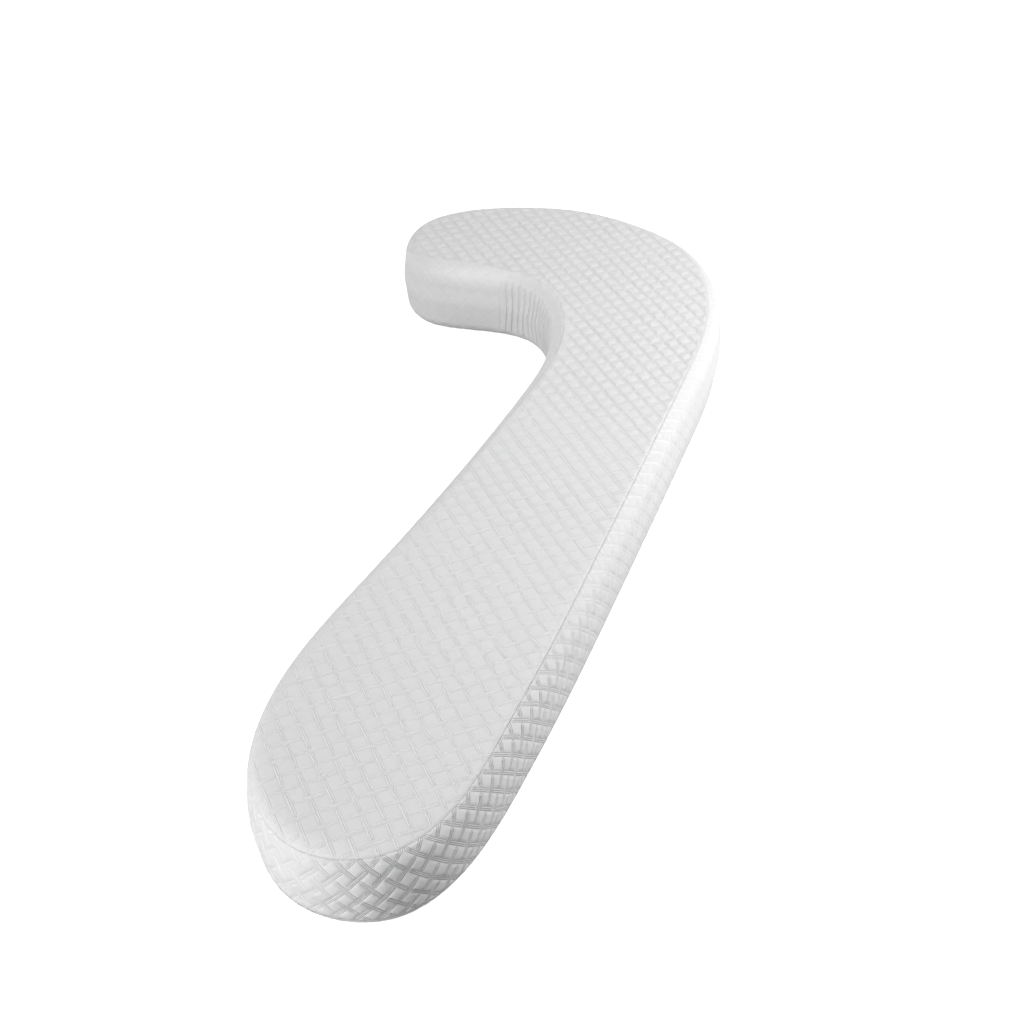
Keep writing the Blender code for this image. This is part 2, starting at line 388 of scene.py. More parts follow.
@dataclass(frozen=True)
class Quilting:
    """Basket pattern of stitch runs on a square lattice, with a puff in each cell.

    Runs through crossings with an even sum of u and v lie along u, and the others along v.
    """

    divisions: tuple[float, ...]
    pitch: float = 21.37 * MM
    half_run: float = 0.77  # of the pitch
    rail_offset: float = 1.3 * MM  # a run is a ladder with two rails, this far from its middle
    rail_rise: float = 0.6 * MM
    rail_width: float = 0.55 * MM
    band: float = 2.1 * MM  # half the width of the stitched band
    foot: float = 0.3 * MM  # how far inside the band a puff starts
    shoulder: float = 1.5 * MM  # how far the steep side of a puff reaches out from the band
    crown: float = 4.5 * MM  # how far its gentle side goes on from there
    steep: float = 0.68  # share of the puff's height that the steep side has
    rise: float = 1.7 * MM
    unevenness: float = 0.1  # share of their height by which the puffs differ
    unevenness_length: float = 3.7  # lattice steps

    @property
    def steps(self) -> int:
        """Mesh steps in each lattice step."""
        return len(self.divisions)

    @property
    def offsets(self) -> np.ndarray:
        """The mesh lines of a lattice step, as shares of it."""
        return np.array(self.divisions) * MM / self.pitch

    def place_of(self, index: np.ndarray) -> np.ndarray:
        """Lattice coordinate of each mesh line, by its number."""
        return np.floor_divide(index, self.steps) + self.offsets[np.mod(index, self.steps)]

    def index_of(self, place: np.ndarray) -> np.ndarray:
        """Finds mesh steps.

        Args:
            place: Lattice coordinates.

        Returns:
            Number of the mesh step that each lies in.
        """
        whole = np.floor(place).astype(int)
        step = np.searchsorted(self.offsets, place - whole, side="right") - 1
        return whole * self.steps + step

    def from_run(self, u: np.ndarray, v: np.ndarray) -> np.ndarray:
        """Measures how far places are from the stitches.

        Args:
            u: First lattice coordinate of each place.
            v: Second lattice coordinate of each place.

        Returns:
            Distance of each to the middle line of the nearest stitch run.
        """
        low_u, low_v = np.floor(u), np.floor(v)
        nearest = np.full(u.shape, np.inf)
        for step_u in (-1, 0, 1, 2):
            for step_v in (-1, 0, 1, 2):
                node_u, node_v = low_u + step_u, low_v + step_v
                along, across = np.abs(u - node_u), np.abs(v - node_v)
                turned = np.mod(node_u + node_v, 2) == 1
                along, across = np.where(turned, across, along), np.where(turned, along, across)
                beyond = np.maximum(along - self.half_run, 0)
                nearest = np.minimum(nearest, np.hypot(beyond, across))
        return nearest * self.pitch

    def relief(
        self,
        u: np.ndarray,
        v: np.ndarray,
        swell: np.ndarray | float = 1.0,
        taut: np.ndarray | float = 1.0,
    ) -> np.ndarray:
        """Height of the cloth above its deepest stitch lines.

        Args:
            u: First lattice coordinate of each place.
            v: Second lattice coordinate of each place.
            swell: How deep the stitch lines lie there, against the deepest ones.
            taut: How high the rails stand there, against the highest ones.

        Returns:
            Height of each place.
        """
        away = self.from_run(u, v)
        rails = taut * self.rail_rise * bell(away - self.rail_offset, self.rail_width)
        side = smooth_step(away, self.band - self.foot, self.band + self.shoulder)
        outside = np.maximum(away - self.band, 0)
        puff = self.steep * side + (1 - self.steep) * (1 - bell(outside, self.crown))
        uneven = 1 + self.unevenness * ripple(u, v, self.unevenness_length)
        return rails + self.rise * (1 - swell + swell * puff * uneven)


# ------------------------------------------------------------------ gathers


@dataclass(frozen=True)
class Gathers:
    """Upright folds where the strip is drawn together round the hook's inner side.

    The broad folds are in the mesh, and the narrow creases are bump.
    """

    start: float = 0.645  # shares of the outline's length
    end: float = 0.708
    soft: float = 0.008
    pitch: float = 26 * MM  # of the broad folds
    depth: float = 1.2 * MM
    tuck: float = 0.6 * MM  # how deep they go on into the top panel's edge
    stray: float = 1.1  # radians by which a fold strays to the sides
    stray_length: float = 46 * MM
    lean: float = 0.7  # radians by which it sways on its way down
    lean_length: float = 13 * MM
    even: float = 0.75  # share of a fold's height that doesn't change along it
    uneven_length: float = 30 * MM
    uneven_stretch: float = 0.5  # down the strip, against along it
    uneven_shift: float = 0.3  # along the strip, away from the stray's own pattern
    folds: float = 340  # narrow creases in a whole turn round the pillow
    crease_width: float = 0.24  # of the distance between them
    crease_depth: float = 1.6 * MM
    crease_top: float = 0.2  # lattice steps down from the first crossing
    crease_fade: float = 1.0  # lattice steps over which they fade out towards the seam
    sway: float = 0.16  # of the distance between them
    sway_pace: float = 0.5  # radians to a lattice step down the strip

    def share(self, around: np.ndarray) -> np.ndarray:
        """How much each place round the outline is gathered, from 0 to 1."""
        rising = smooth_step(around, self.start, self.start + self.soft)
        return rising * (1 - smooth_step(around, self.end - self.soft, self.end))

    def wave(self, walked: np.ndarray, down: np.ndarray) -> np.ndarray:
        """Shapes the broad folds.

        Args:
            walked: Distance of each place along the outline.
            down: How far it is under the upper seam.

        Returns:
            Height of the folds at each place, from about 0 to 1.
        """
        stray = self.stray * ripple(walked, down, self.stray_length)
        sway = stray + self.lean * np.sin(down / self.lean_length)
        crest = 0.5 + 0.5 * np.cos(TURN * walked / self.pitch + sway)
        places = walked + self.uneven_shift, down * self.uneven_stretch
        return crest * (self.even + (1 - self.even) * ripple(*places, self.uneven_length))


GATHERS = Gathers()
STRIP_REPEATS = 137  # lattice steps once round the boxing strip
STRIP_FIRST = (0.0516, 13 * MM)  # a crossing: share of the way round, and distance under the seam


# ------------------------------------------------------------------ finishes


LATTICE_MAP = "lattice"
SHOWN_MAP = "stitches_shown"  # how far the stitches stand out, at each point of a mesh


class Graph:
    """Short way to write a material's arithmetic."""

    def __init__(self, tree: bpy.types.NodeTree) -> None:
        """Keeps the node tree that the arithmetic goes into."""
        self.tree = tree

    def node(self, kind: str, **inputs: object) -> bpy.types.Node:
        """Adds a node.

        Args:
            kind: Blender's name for the node's type.
            **inputs: Values or sockets for its inputs, by name.

        Returns:
            The new node.
        """
        made = self.tree.nodes.new(kind)
        for name, value in inputs.items():
            self.feed(made.inputs[name.replace("_", " ")], value)
        return made

    def feed(self, socket: Socket, value: object) -> None:
        """Links a socket to another, or sets its value.

        Args:
            socket: The input.
            value: The socket that feeds it, or its value.
        """
        if isinstance(value, Socket):
            self.tree.links.new(value, socket)
        else:
            socket.default_value = value

    def math(self, operation: str, *values: object) -> Socket:
        """Adds one step of arithmetic.

        Args:
            operation: Blender's name for it, such as ADD.
            *values: Its numbers or sockets.

        Returns:
            The socket with the result.
        """
        made = self.tree.nodes.new("ShaderNodeMath")
        made.operation = operation
        for socket, value in zip(made.inputs, values):
            self.feed(socket, value)
        return made.outputs[0]

    def fall(self, value: object, low: float, high: float) -> Socket:
        """Adds a smooth fall.

        Args:
            value: What it depends on.
            low: Value up to which the result is 1.
            high: Value from which on it is 0.

        Returns:
            The socket with the result.
        """
        made = self.tree.nodes.new("ShaderNodeMapRange")
        made.interpolation_type = "SMOOTHSTEP"
        ends = {"Value": value, "From Min": low, "From Max": high, "To Min": 1.0, "To Max": 0.0}
        for name, end in ends.items():
            self.feed(made.inputs[name], end)
        return made.outputs["Result"]

    def blend(self, share: object, low: object, high: object) -> Socket:
        """Adds a number between two others.

        Args:
            share: Where it lies between them, from 0 to 1.
            low: The number at 0.
            high: The number at 1.

        Returns:
            The socket with the result.
        """
        made = self.tree.nodes.new("ShaderNodeMix")
        made.data_type = "FLOAT"
        for name, value in (("Factor", share), ("A", low), ("B", high)):
            self.feed(made.inputs[name], value)
        return made.outputs["Result"]

    def tint(self, share: object, low: object, high: object) -> Socket:
        """Adds a colour between two others.

        Args:
            share: Where it lies between them, from 0 to 1.
            low: The colour at 0.
            high: The colour at 1.

        Returns:
            The socket with the result.
        """
        made = self.tree.nodes.new("ShaderNodeMix")
        made.data_type = "RGBA"
        factor, first, second = made.inputs[0], made.inputs[6], made.inputs[7]
        for socket, value in ((factor, share), (first, low), (second, high)):
            self.feed(socket, value)
        return made.outputs[2]


class StitchGraph(Graph):
    """A material's arithmetic that knows where each place lies in the quilting."""

    def __init__(self, tree: bpy.types.NodeTree, quilting: Quilting) -> None:
        """Finds the nearest crossing, and the place along and across its run.

        Args:
            tree: The node tree that the arithmetic goes into.
            quilting: The pattern.
        """
        super().__init__(tree)
        self.quilting = quilting
        places = self.node("ShaderNodeUVMap")
        places.uv_map = LATTICE_MAP
        split = self.node("ShaderNodeSeparateXYZ", Vector=places.outputs["UV"])
        self.u, self.v = split.outputs["X"], split.outputs["Y"]
        shown = self.node("ShaderNodeAttribute")
        shown.attribute_name = SHOWN_MAP
        self.shown = shown.outputs["Fac"]
        round_u, round_v = self.math("ROUND", self.u), self.math("ROUND", self.v)
        off_u = self.math("SUBTRACT", self.u, round_u)
        off_v = self.math("SUBTRACT", self.v, round_v)
        turned = self.math("FLOORED_MODULO", self.math("ADD", round_u, round_v), 2.0)
        self.along = self.blend(turned, off_u, off_v)
        self.across = self.blend(turned, off_v, off_u)
        self.own = self.math("ABSOLUTE", self.across)

    def from_run(self) -> Socket:
        """Measures how far each place is from the stitches.

        Returns:
            The socket with the distance to the nearest run, in lattice steps.
        """
        gap = self.math("SUBTRACT", 1 - self.quilting.half_run, self.own)
        beyond = self.math("MAXIMUM", gap, 0.0)
        other = self.math("ABSOLUTE", self.along)
        squares = [self.math("POWER", part, 2.0) for part in (beyond, other)]
        crossing = self.math("SQRT", self.math("ADD", *squares))
        return self.math("MINIMUM", self.own, crossing)


@dataclass(frozen=True)
class QuiltedKnit:
    """White jacquard knit with ladder stitches along the quilting, and painted shade in the grooves
    beside and between them.
    """

    name: str
    # painted shade: the colour that the grooves are darkened to, standing in for the shade in them
    groove_shade: Colour
    cloth: Colour = (0.76, 0.76, 0.764, 1.0)
    yarn: Colour = (0.94, 0.94, 0.944, 1.0)
    roughness: float = 0.9
    specular: float = 0.25
    sheen: float = 0.15
    sheen_roughness: float = 0.5
    rail_edge: tuple[float, float] = (0.15 * MM, 0.65 * MM)  # from a rail's middle, where it fades
    rung_pitch: float = 2.4 * MM
    rung_edge: float = 0.6  # of the height of the wave that makes the rungs
    rung_rise: float = 0.5 * MM
    rung_share: float = 0.75  # how far the rungs stand out, against the rails
    # painted shade in the grooves: the width of its lines, where they lie and how they fade
    groove_shade_width: float = 0.6 * MM
    groove_shade_out: float = 0.3 * MM  # from the stitched band to the painted shade line in the groove beside it
    side_core: float = 0.25  # share of the width at which the painted shade beside the band starts to fade
    middle_edge: tuple[float, float] = (0.2, 0.8)  # where the painted shade between the rails fades
    faint_yarn: float = 0.24  # how white the yarn is where the stitches stand out least
    yarn_range: tuple[float, float] = (0.3, 0.6)  # from faint to full yarn, by the stitches shown
    faint_groove_shade: float = 0.0  # how dark the painted groove shade is where the stitches stand out least
    bold_groove_shade: float = 1.0  # and where they stand out most
    groove_shade_range: tuple[float, float] = (0.75, 1.1)  # from faint to bold painted shade, by the stitches shown
    wale_pitch: float = 1.1 * MM
    wale_rise: float = 0.05 * MM
    creased: bool = False  # whether it has the gathers' narrow creases

    def material(self, quilting: Quilting) -> bpy.types.Material:
        """Makes the finish.

        Args:
            quilting: The pattern that its stitches follow.

        Returns:
            The material.
        """
        made = bpy.data.materials.new(self.name)
        made.use_nodes = True
        shader = made.node_tree.nodes["Principled BSDF"]
        shader.inputs["Roughness"].default_value = self.roughness
        shader.inputs["Specular IOR Level"].default_value = self.specular
        shader.inputs["Sheen Weight"].default_value = self.sheen
        shader.inputs["Sheen Roughness"].default_value = self.sheen_roughness
        graph = StitchGraph(made.node_tree, quilting)
        stitches = self._ladders(graph)
        graph.feed(shader.inputs["Base Color"], self._colour(graph, stitches))
        bump = graph.node("ShaderNodeBump", Height=self._height(graph, stitches), Distance=1.0)
        graph.feed(shader.inputs["Normal"], bump.outputs["Normal"])
        return made

    def _colour(self, graph: StitchGraph, stitches: Socket) -> Socket:
        """Mixes cloth and yarn, and darkens the grooves with painted shade.

        Args:
            graph: The material's arithmetic.
            stitches: Rails and rungs, from 0 to 1.

        Returns:
            The socket with the colour.
        """
        bright = graph.blend(graph.fall(graph.shown, *self.yarn_range), 1.0, self.faint_yarn)
        tone = graph.tint(graph.math("MULTIPLY", stitches, bright), self.cloth, self.yarn)
        # painted shade: the grooves are darkened towards the groove-shade colour, by how far the
        # stitches show
        faint = graph.fall(graph.shown, *self.groove_shade_range)
        dark = graph.blend(faint, self.bold_groove_shade, self.faint_groove_shade)
        groove_shading = graph.math("MULTIPLY", self._groove_shade_mask(graph), dark)
        return graph.tint(groove_shading, tone, self.groove_shade)

    def _height(self, graph: StitchGraph, stitches: Socket) -> Socket:
        """Adds up the relief that is too fine for the mesh.

        Args:
            graph: The material's arithmetic.
            stitches: Rails and rungs, from 0 to 1.

        Returns:
            The socket with the height in metres.
        """
        raised = graph.math("MULTIPLY", stitches, graph.shown)
        raised = graph.math("MULTIPLY", raised, self.rung_rise)
        knit = graph.math("MULTIPLY", self._knit(graph), self.wale_rise)
        height = graph.math("ADD", raised, knit)
        if self.creased:
            height = graph.math("ADD", height, self._creases(graph))
        return height

    def _groove_shade_mask(self, graph: StitchGraph) -> Socket:
        """Draws painted shade in the grooves on both sides of the rails and between them.

        Args:
            graph: The material's arithmetic.

        Returns:
            The socket with how strongly the painted shade darkens each place, from 0 to 1.
        """
        away = graph.math("MULTIPLY", graph.from_run(), graph.quilting.pitch)
        off = graph.math("SUBTRACT", away, graph.quilting.band + self.groove_shade_out)
        beside = graph.math("ABSOLUTE", off)
        sides = graph.fall(beside, self.side_core * self.groove_shade_width, self.groove_shade_width)
        middle = graph.fall(away, *(edge * self.groove_shade_width for edge in self.middle_edge))
        return graph.math("MAXIMUM", sides, middle)

    def _creases(self, graph: StitchGraph) -> Socket:
        """Draws the narrow creases of the gathers.

        Args:
            graph: The material's arithmetic.

        Returns:
            The socket with their height in metres, 0 or below.
        """
        around = graph.math("DIVIDE", graph.math("ADD", graph.u, graph.v), 2.0 * STRIP_REPEATS)
        around = graph.math("ADD", around, STRIP_FIRST[0])
        down = graph.math("SUBTRACT", graph.u, graph.v)
        bend = graph.math("ADD", graph.math("MULTIPLY", down, GATHERS.sway_pace), graph.u)
        sway = graph.math("MULTIPLY", graph.math("SINE", bend), GATHERS.sway)
        turns = graph.math("ADD", graph.math("MULTIPLY", around, GATHERS.folds), sway)
        away = graph.math("SUBTRACT", graph.math("FRACT", turns), 0.5)
        crease = graph.fall(graph.math("ABSOLUTE", away), 0.0, GATHERS.crease_width)
        before = graph.fall(around, GATHERS.start, GATHERS.start + GATHERS.soft)
        within = graph.fall(around, GATHERS.end - GATHERS.soft, GATHERS.end)
        top = GATHERS.crease_top
        at_seam = graph.fall(down, top, top + GATHERS.crease_fade)
        height = -GATHERS.crease_depth
        for part in (crease, within, graph.math("SUBTRACT", 1.0, before)):
            height = graph.math("MULTIPLY", part, height)
        return graph.math("MULTIPLY", graph.math("SUBTRACT", 1.0, at_seam), height)

    def _ladders(self, graph: StitchGraph) -> Socket:
        """Draws the rails and rungs of the stitch runs.

        Args:
            graph: The material's arithmetic.

        Returns:
            The socket with how far each place is raised, from 0 to 1.
        """
        end = 1 - graph.quilting.half_run
        within = graph.math("GREATER_THAN", graph.own, end)
        own = self._ladder(graph, graph.along, graph.across)
        crossing = graph.math("MULTIPLY", self._ladder(graph, graph.across, graph.along), within)
        return graph.math("MAXIMUM", own, crossing)

    def _ladder(self, graph: StitchGraph, along: Socket, across: Socket) -> Socket:
        """Draws one stitch run: two rails joined by rungs.

        Args:
            graph: The material's arithmetic.
            along: Place along the run, in lattice steps.
            across: Place across it, in lattice steps.

        Returns:
            The socket with how far each place is raised, from 0 to 1.
        """
        quilting = graph.quilting
        away = graph.math("MULTIPLY", graph.math("ABSOLUTE", across), quilting.pitch)
        off_rail = graph.math("ABSOLUTE", graph.math("SUBTRACT", away, quilting.rail_offset))
        rail = graph.fall(off_rail, *self.rail_edge)
        turns = graph.math("MULTIPLY", along, TURN * quilting.pitch / self.rung_pitch)
        wave = graph.math("MULTIPLY", graph.math("COSINE", turns), -1.0)
        rung = graph.fall(wave, -self.rung_edge, self.rung_edge)
        inside = graph.fall(away, quilting.rail_offset, quilting.band)
        inside = graph.math("MULTIPLY", inside, self.rung_share)
        return graph.math("MAXIMUM", rail, graph.math("MULTIPLY", rung, inside))

    def _knit(self, graph: StitchGraph) -> Socket:
        """Draws the fine wales and courses of the knit.

        Args:
            graph: The material's arithmetic.

        Returns:
            The socket with their height, from -1 to 1.
        """
        turn = TURN * graph.quilting.pitch / math.sqrt(2) / self.wale_pitch
        waves = []
        for operation in ("ADD", "SUBTRACT"):
            angle = graph.math("MULTIPLY", graph.math(operation, graph.u, graph.v), turn)
            waves.append(graph.math("SINE", angle))
        return graph.math("MULTIPLY", *waves)


# ------------------------------------------------------------------ mesh building


WELD = 0.001 * MM  # points nearer than this count as one


class Kept(Enum):
    """Which triangles between loops of edges are kept, by Blender's numbers."""

    INSIDE = 1
    INSIDE_BUT_HOLES = 2


def triangulate(flat: np.ndarray, edges: list[tuple[int, int]], kept: Kept) -> np.ndarray:
    """Fills closed loops of edges with triangles.

    Args:
        flat: Points in a plane, one in each row.
        edges: Pairs of point numbers.
        kept: Which triangles are kept.

    Returns:
        Point numbers of each triangle, counterclockwise.
    """
    found = delaunay_2d_cdt([Vector(p) for p in flat], edges, [], kept.value, WELD)
    sources = found[3]
    return np.array([[sources[k][0] for k in face] for face in found[2]])


@dataclass
class ClothMesh:
    """Points and faces of one piece, before Blender gets them."""

    wrap: float = 0.0  # lattice steps after which u and v both repeat, or 0
    points: list[np.ndarray] = field(default_factory=list)
    lattice: list[np.ndarray] = field(default_factory=list)
    shown: list[np.ndarray] = field(default_factory=list)
    faces: list[np.ndarray] = field(default_factory=list)
    count: int = 0

    def add(
        self,
        points: np.ndarray,
        lattice: np.ndarray | None = None,
        shown: np.ndarray | float = 1.0,
    ) -> np.ndarray:
        """Adds points.

        Args:
            points: Their places, one in each row.
            lattice: Their lattice coordinates, one pair in each row, or None inside the cover.
            shown: How far the stitches stand out at each.

        Returns:
            Their numbers.
        """
        numbers = np.arange(self.count, self.count + len(points))
        self.points.append(points)
        self.lattice.append(np.zeros((len(points), 2)) if lattice is None else lattice)
        self.shown.append(np.broadcast_to(shown, len(points)))
        self.count += len(points)
        return numbers

    def bridge(self, upper: np.ndarray, lower: np.ndarray) -> None:
        """Joins two closed rows of points; upper to lower runs down, seen from outside."""
        ahead_upper, ahead_lower = np.roll(upper, -1), np.roll(lower, -1)
        self.faces.append(np.column_stack([lower, ahead_lower, ahead_upper, upper]))

    def chain(self, rows: list[np.ndarray], run_down: bool) -> None:
        """Joins closed rows of points, each to the next.

        Args:
            rows: Numbers of the points of each.
            run_down: Whether they run down, seen from outside.
        """
        for row, following in zip(rows, rows[1:]):
            if run_down:
                self.bridge(row, following)
            else:
                self.bridge(following, row)

    def fill(self, border: np.ndarray, flat: np.ndarray, faces_up: bool) -> None:
        """Closes a row of points with triangles.

        Args:
            border: Numbers of the points.
            flat: Their places in a plane, counterclockwise.
            faces_up: Whether the triangles look up out of that plane.
        """
        edges = [(k, (k + 1) % len(border)) for k in range(len(border))]
        corners = border[triangulate(flat, edges, Kept.INSIDE)]
        self.faces.append(corners if faces_up else corners[:, ::-1])

    def _unwrapped(self, corners: np.ndarray) -> np.ndarray:
        """Lattice coordinates of face corners, unbroken where the cloth meets itself.

        Args:
            corners: Coordinates of the corners of each face.

        Returns:
            One pair in each row, on the turn that the face's first corner is on.
        """
        if self.wrap:
            ahead = corners.sum(axis=2) - corners[:, :1].sum(axis=2)
            corners = corners - np.round(ahead / (2 * self.wrap))[:, :, None] * self.wrap
        return corners.reshape(-1, 2)

    def build(self, name: str, material: bpy.types.Material) -> bpy.types.Object:
        """Makes the object.

        Args:
            name: Its name.
            material: Its finish.

        Returns:
            The object, linked to the scene.
        """
        points, lattice = np.vstack(self.points), np.vstack(self.lattice)
        mesh = bpy.data.meshes.new(name)
        faces = [face for block in self.faces for face in block.tolist()]
        mesh.from_pydata(points.tolist(), [], faces)
        corners = np.vstack([self._unwrapped(lattice[block]) for block in self.faces])
        layer = mesh.uv_layers.new(name=LATTICE_MAP)
        layer.data.foreach_set("uv", corners.astype(np.float32).ravel())
        shown = mesh.attributes.new(SHOWN_MAP, "FLOAT", "POINT")
        shown.data.foreach_set("value", np.concatenate(self.shown).astype(np.float32))
        mesh.shade_smooth()
        mesh.materials.append(material)
        mesh.validate()
        piece = bpy.data.objects.new(name, mesh)
        bpy.context.scene.collection.objects.link(piece)
        return piece


class QuiltedField:
    """Squares of a regular quilted mesh over the inner part of a cloth."""

    def __init__(
        self,
        quilting: Quilting,
        index_u: np.ndarray,
        index_v: np.ndarray,
        keep: np.ndarray,
        wrap: int = 0,
    ) -> None:
        """Builds the squares between the crossings that are kept.

        Args:
            quilting: The pattern of the field.
            index_u: Numbers of the mesh lines along v that make the crossings.
            index_v: Numbers of the mesh lines along u that make them.
            keep: Which crossings are far enough inside the cloth.
            wrap: Mesh steps after which the cloth meets itself, or 0.
        """
        self.quilting = quilting
        self.wrap = wrap
        self.low = np.array([index_u.min(), index_v.min()])
        size = np.array([index_u.max(), index_v.max()]) - self.low + 2
        kept_u, kept_v = index_u[keep], index_v[keep]
        self.table = np.full(size, -1)
        self.table[kept_u - self.low[0], kept_v - self.low[1]] = np.arange(len(kept_u))
        steps = ((0, 0), (1, 0), (1, 1), (0, 1))
        squares = np.column_stack([self.number(kept_u + a, kept_v + b) for a, b in steps])
        self.is_square = (squares >= 0).all(axis=1)
        self.squares = squares[self.is_square]

    def number(self, index_u: np.ndarray, index_v: np.ndarray) -> np.ndarray:
        """Finds crossings among the kept ones.

        Args:
            index_u: Number of the mesh line along v of each.
            index_v: Number of the mesh line along u of each.

        Returns:
            Number of each kept crossing, and -1 for the others.
        """
        if self.wrap:
            turns = np.floor_divide(index_u + index_v, 2 * self.wrap)
            index_u, index_v = index_u - turns * self.wrap, index_v - turns * self.wrap
        a, b = index_u - self.low[0], index_v - self.low[1]
        size_a, size_b = self.table.shape
        inside = (a >= 0) & (b >= 0) & (a < size_a) & (b < size_b)
        found = np.full(a.shape, -1)
        found[inside] = self.table[a[inside], b[inside]]
        return found

    def covers(self, u: np.ndarray, v: np.ndarray) -> np.ndarray:
        """Whether each place lies in a whole square of the field."""
        number = self.number(self.quilting.index_of(u), self.quilting.index_of(v))
        return (number >= 0) & self.is_square[number]

    def rim(self) -> np.ndarray:
        """Finds the field's ragged border.

        Returns:
            Edges that only one square has, as pairs of crossing numbers.
        """
        edges = np.vstack([self.squares[:, [k, (k + 1) % 4]] for k in range(4)])
        ordered = np.sort(edges, axis=1)
        _, first, uses = np.unique(ordered, axis=0, return_index=True, return_counts=True)
        return edges[first[uses == 1]]


def within_row(flat: np.ndarray, row: np.ndarray) -> np.ndarray:
    """Whether each place lies inside a closed row round the origin.

    Args:
        flat: The places.
        row: The row's points, at even angles from the first axis on.

    Returns:
        One truth value for each place.
    """
    step = TURN / len(row)
    turn = np.mod(np.arctan2(flat[:, 1], flat[:, 0]), TURN)
    k = np.minimum((turn / step).astype(int), len(row) - 1)
    radii = np.linalg.norm(row, axis=1)
    first, second = radii[k], radii[(k + 1) % len(row)]
    share = first * np.sin(turn - k * step) + second * np.sin((k + 1) * step - turn)
    return np.linalg.norm(flat, axis=1) < first * second * math.sin(step) / share


# ------------------------------------------------------------------ the cloths of the cover


SEWN_ROWS = (0 * MM, 0.5 * MM, 1.3 * MM, 2.6 * MM, 4.4 * MM)  # from a seam into its cloth
ROW_POINTS = 1512
FIELD_MARGIN = 6.2 * MM  # no crossing of a quilted field lies nearer a seam
STITCH_LINE = 1.1 * MM  # width of the line that a seam draws into the cloth


class Face(Enum):
    """The broad sides of the slab."""

    TOP = "top"
    BASE = "base"


@dataclass
class Cloth(ABC):
    """A cloth of the cover, in its place on the slab."""

    outline: Outline
    slab: Slab
    quilting: Quilting

    @abstractmethod
    def lattice(self, flat: np.ndarray) -> tuple[np.ndarray, np.ndarray]:
        """Lattice coordinates of places in the cloth laid out flat."""

    def sunk(self, walked: np.ndarray, down: np.ndarray, depth: float) -> np.ndarray:
        """Places of a sewn edge, which is folded under its seam.

        Args:
            walked: Distances along the outline.
            down: Where the edge lies on the slab's side.
            depth: How far it lies under the stitch lines' level.

        Returns:
            Their places in space.
        """
        inset, height, side, up = self.slab.side(down)
        depth = depth + self.quilting.rise + self.outline.depths(walked)
        places = self.outline.inside(walked, inset + side * depth)
        return np.column_stack([places, height - up * depth])

    def inner_row(self, walked: np.ndarray, face: Face, depth: float) -> np.ndarray:
        """Places of the row round the flat inner side under a face of the slab.

        Args:
            walked: Distances along the outline.
            face: The face that it lies under.
            depth: How far it lies under the stitch lines' level.

        Returns:
            Their places in space.
        """
        depth = depth + self.quilting.rise
        level = self.slab.thickness - depth if face is Face.TOP else depth
        places = self.outline.inside(walked, self.slab.cap_inset)
        return np.column_stack([places, np.full(len(walked), level)])


def join_to_rows(
    mesh: ClothMesh,
    cover: QuiltedField,
    field_numbers: np.ndarray,
    field_flat: np.ndarray,
    rows: list[tuple[np.ndarray, np.ndarray]],
    cloth: Cloth,
    faces_up: bool = True,
) -> None:
    """Fills the gap between a field's ragged rim and the rows along the cloth's edges.

    Args:
        mesh: The piece that they belong to.
        cover: The field.
        field_numbers: Number in the mesh of each crossing of the field.
        field_flat: Place of each crossing in the cloth laid out flat.
        rows: Closed rows around the field, as numbers and places in the same plane.
        cloth: The cloth that they are in.
        faces_up: Whether the cloth's outer side looks up out of the plane.
    """
    rim = cover.rim()
    used = np.unique(rim)
    order = np.full(len(field_numbers), -1)
    order[used] = np.arange(len(used))
    numbers, flat = [field_numbers[used]], [field_flat[used]]
    edges = [tuple(pair) for pair in order[rim].tolist()]
    start = len(used)
    for row_numbers, row_flat in rows:
        count = len(row_numbers)
        edges += [(start + k, start + (k + 1) % count) for k in range(count)]
        numbers.append(row_numbers)
        flat.append(row_flat)
        start += count
    numbers, flat = np.concatenate(numbers), np.vstack(flat)
    corners = triangulate(flat, edges, Kept.INSIDE_BUT_HOLES)
    middle = flat[corners].mean(axis=1)
    gap = ~cover.covers(*cloth.lattice(middle))
    if len(rows) > 1:
        gap &= ~within_row(middle, rows[0][1])
    corners = numbers[corners[gap]]
    mesh.faces.append(corners if faces_up else corners[:, ::-1])


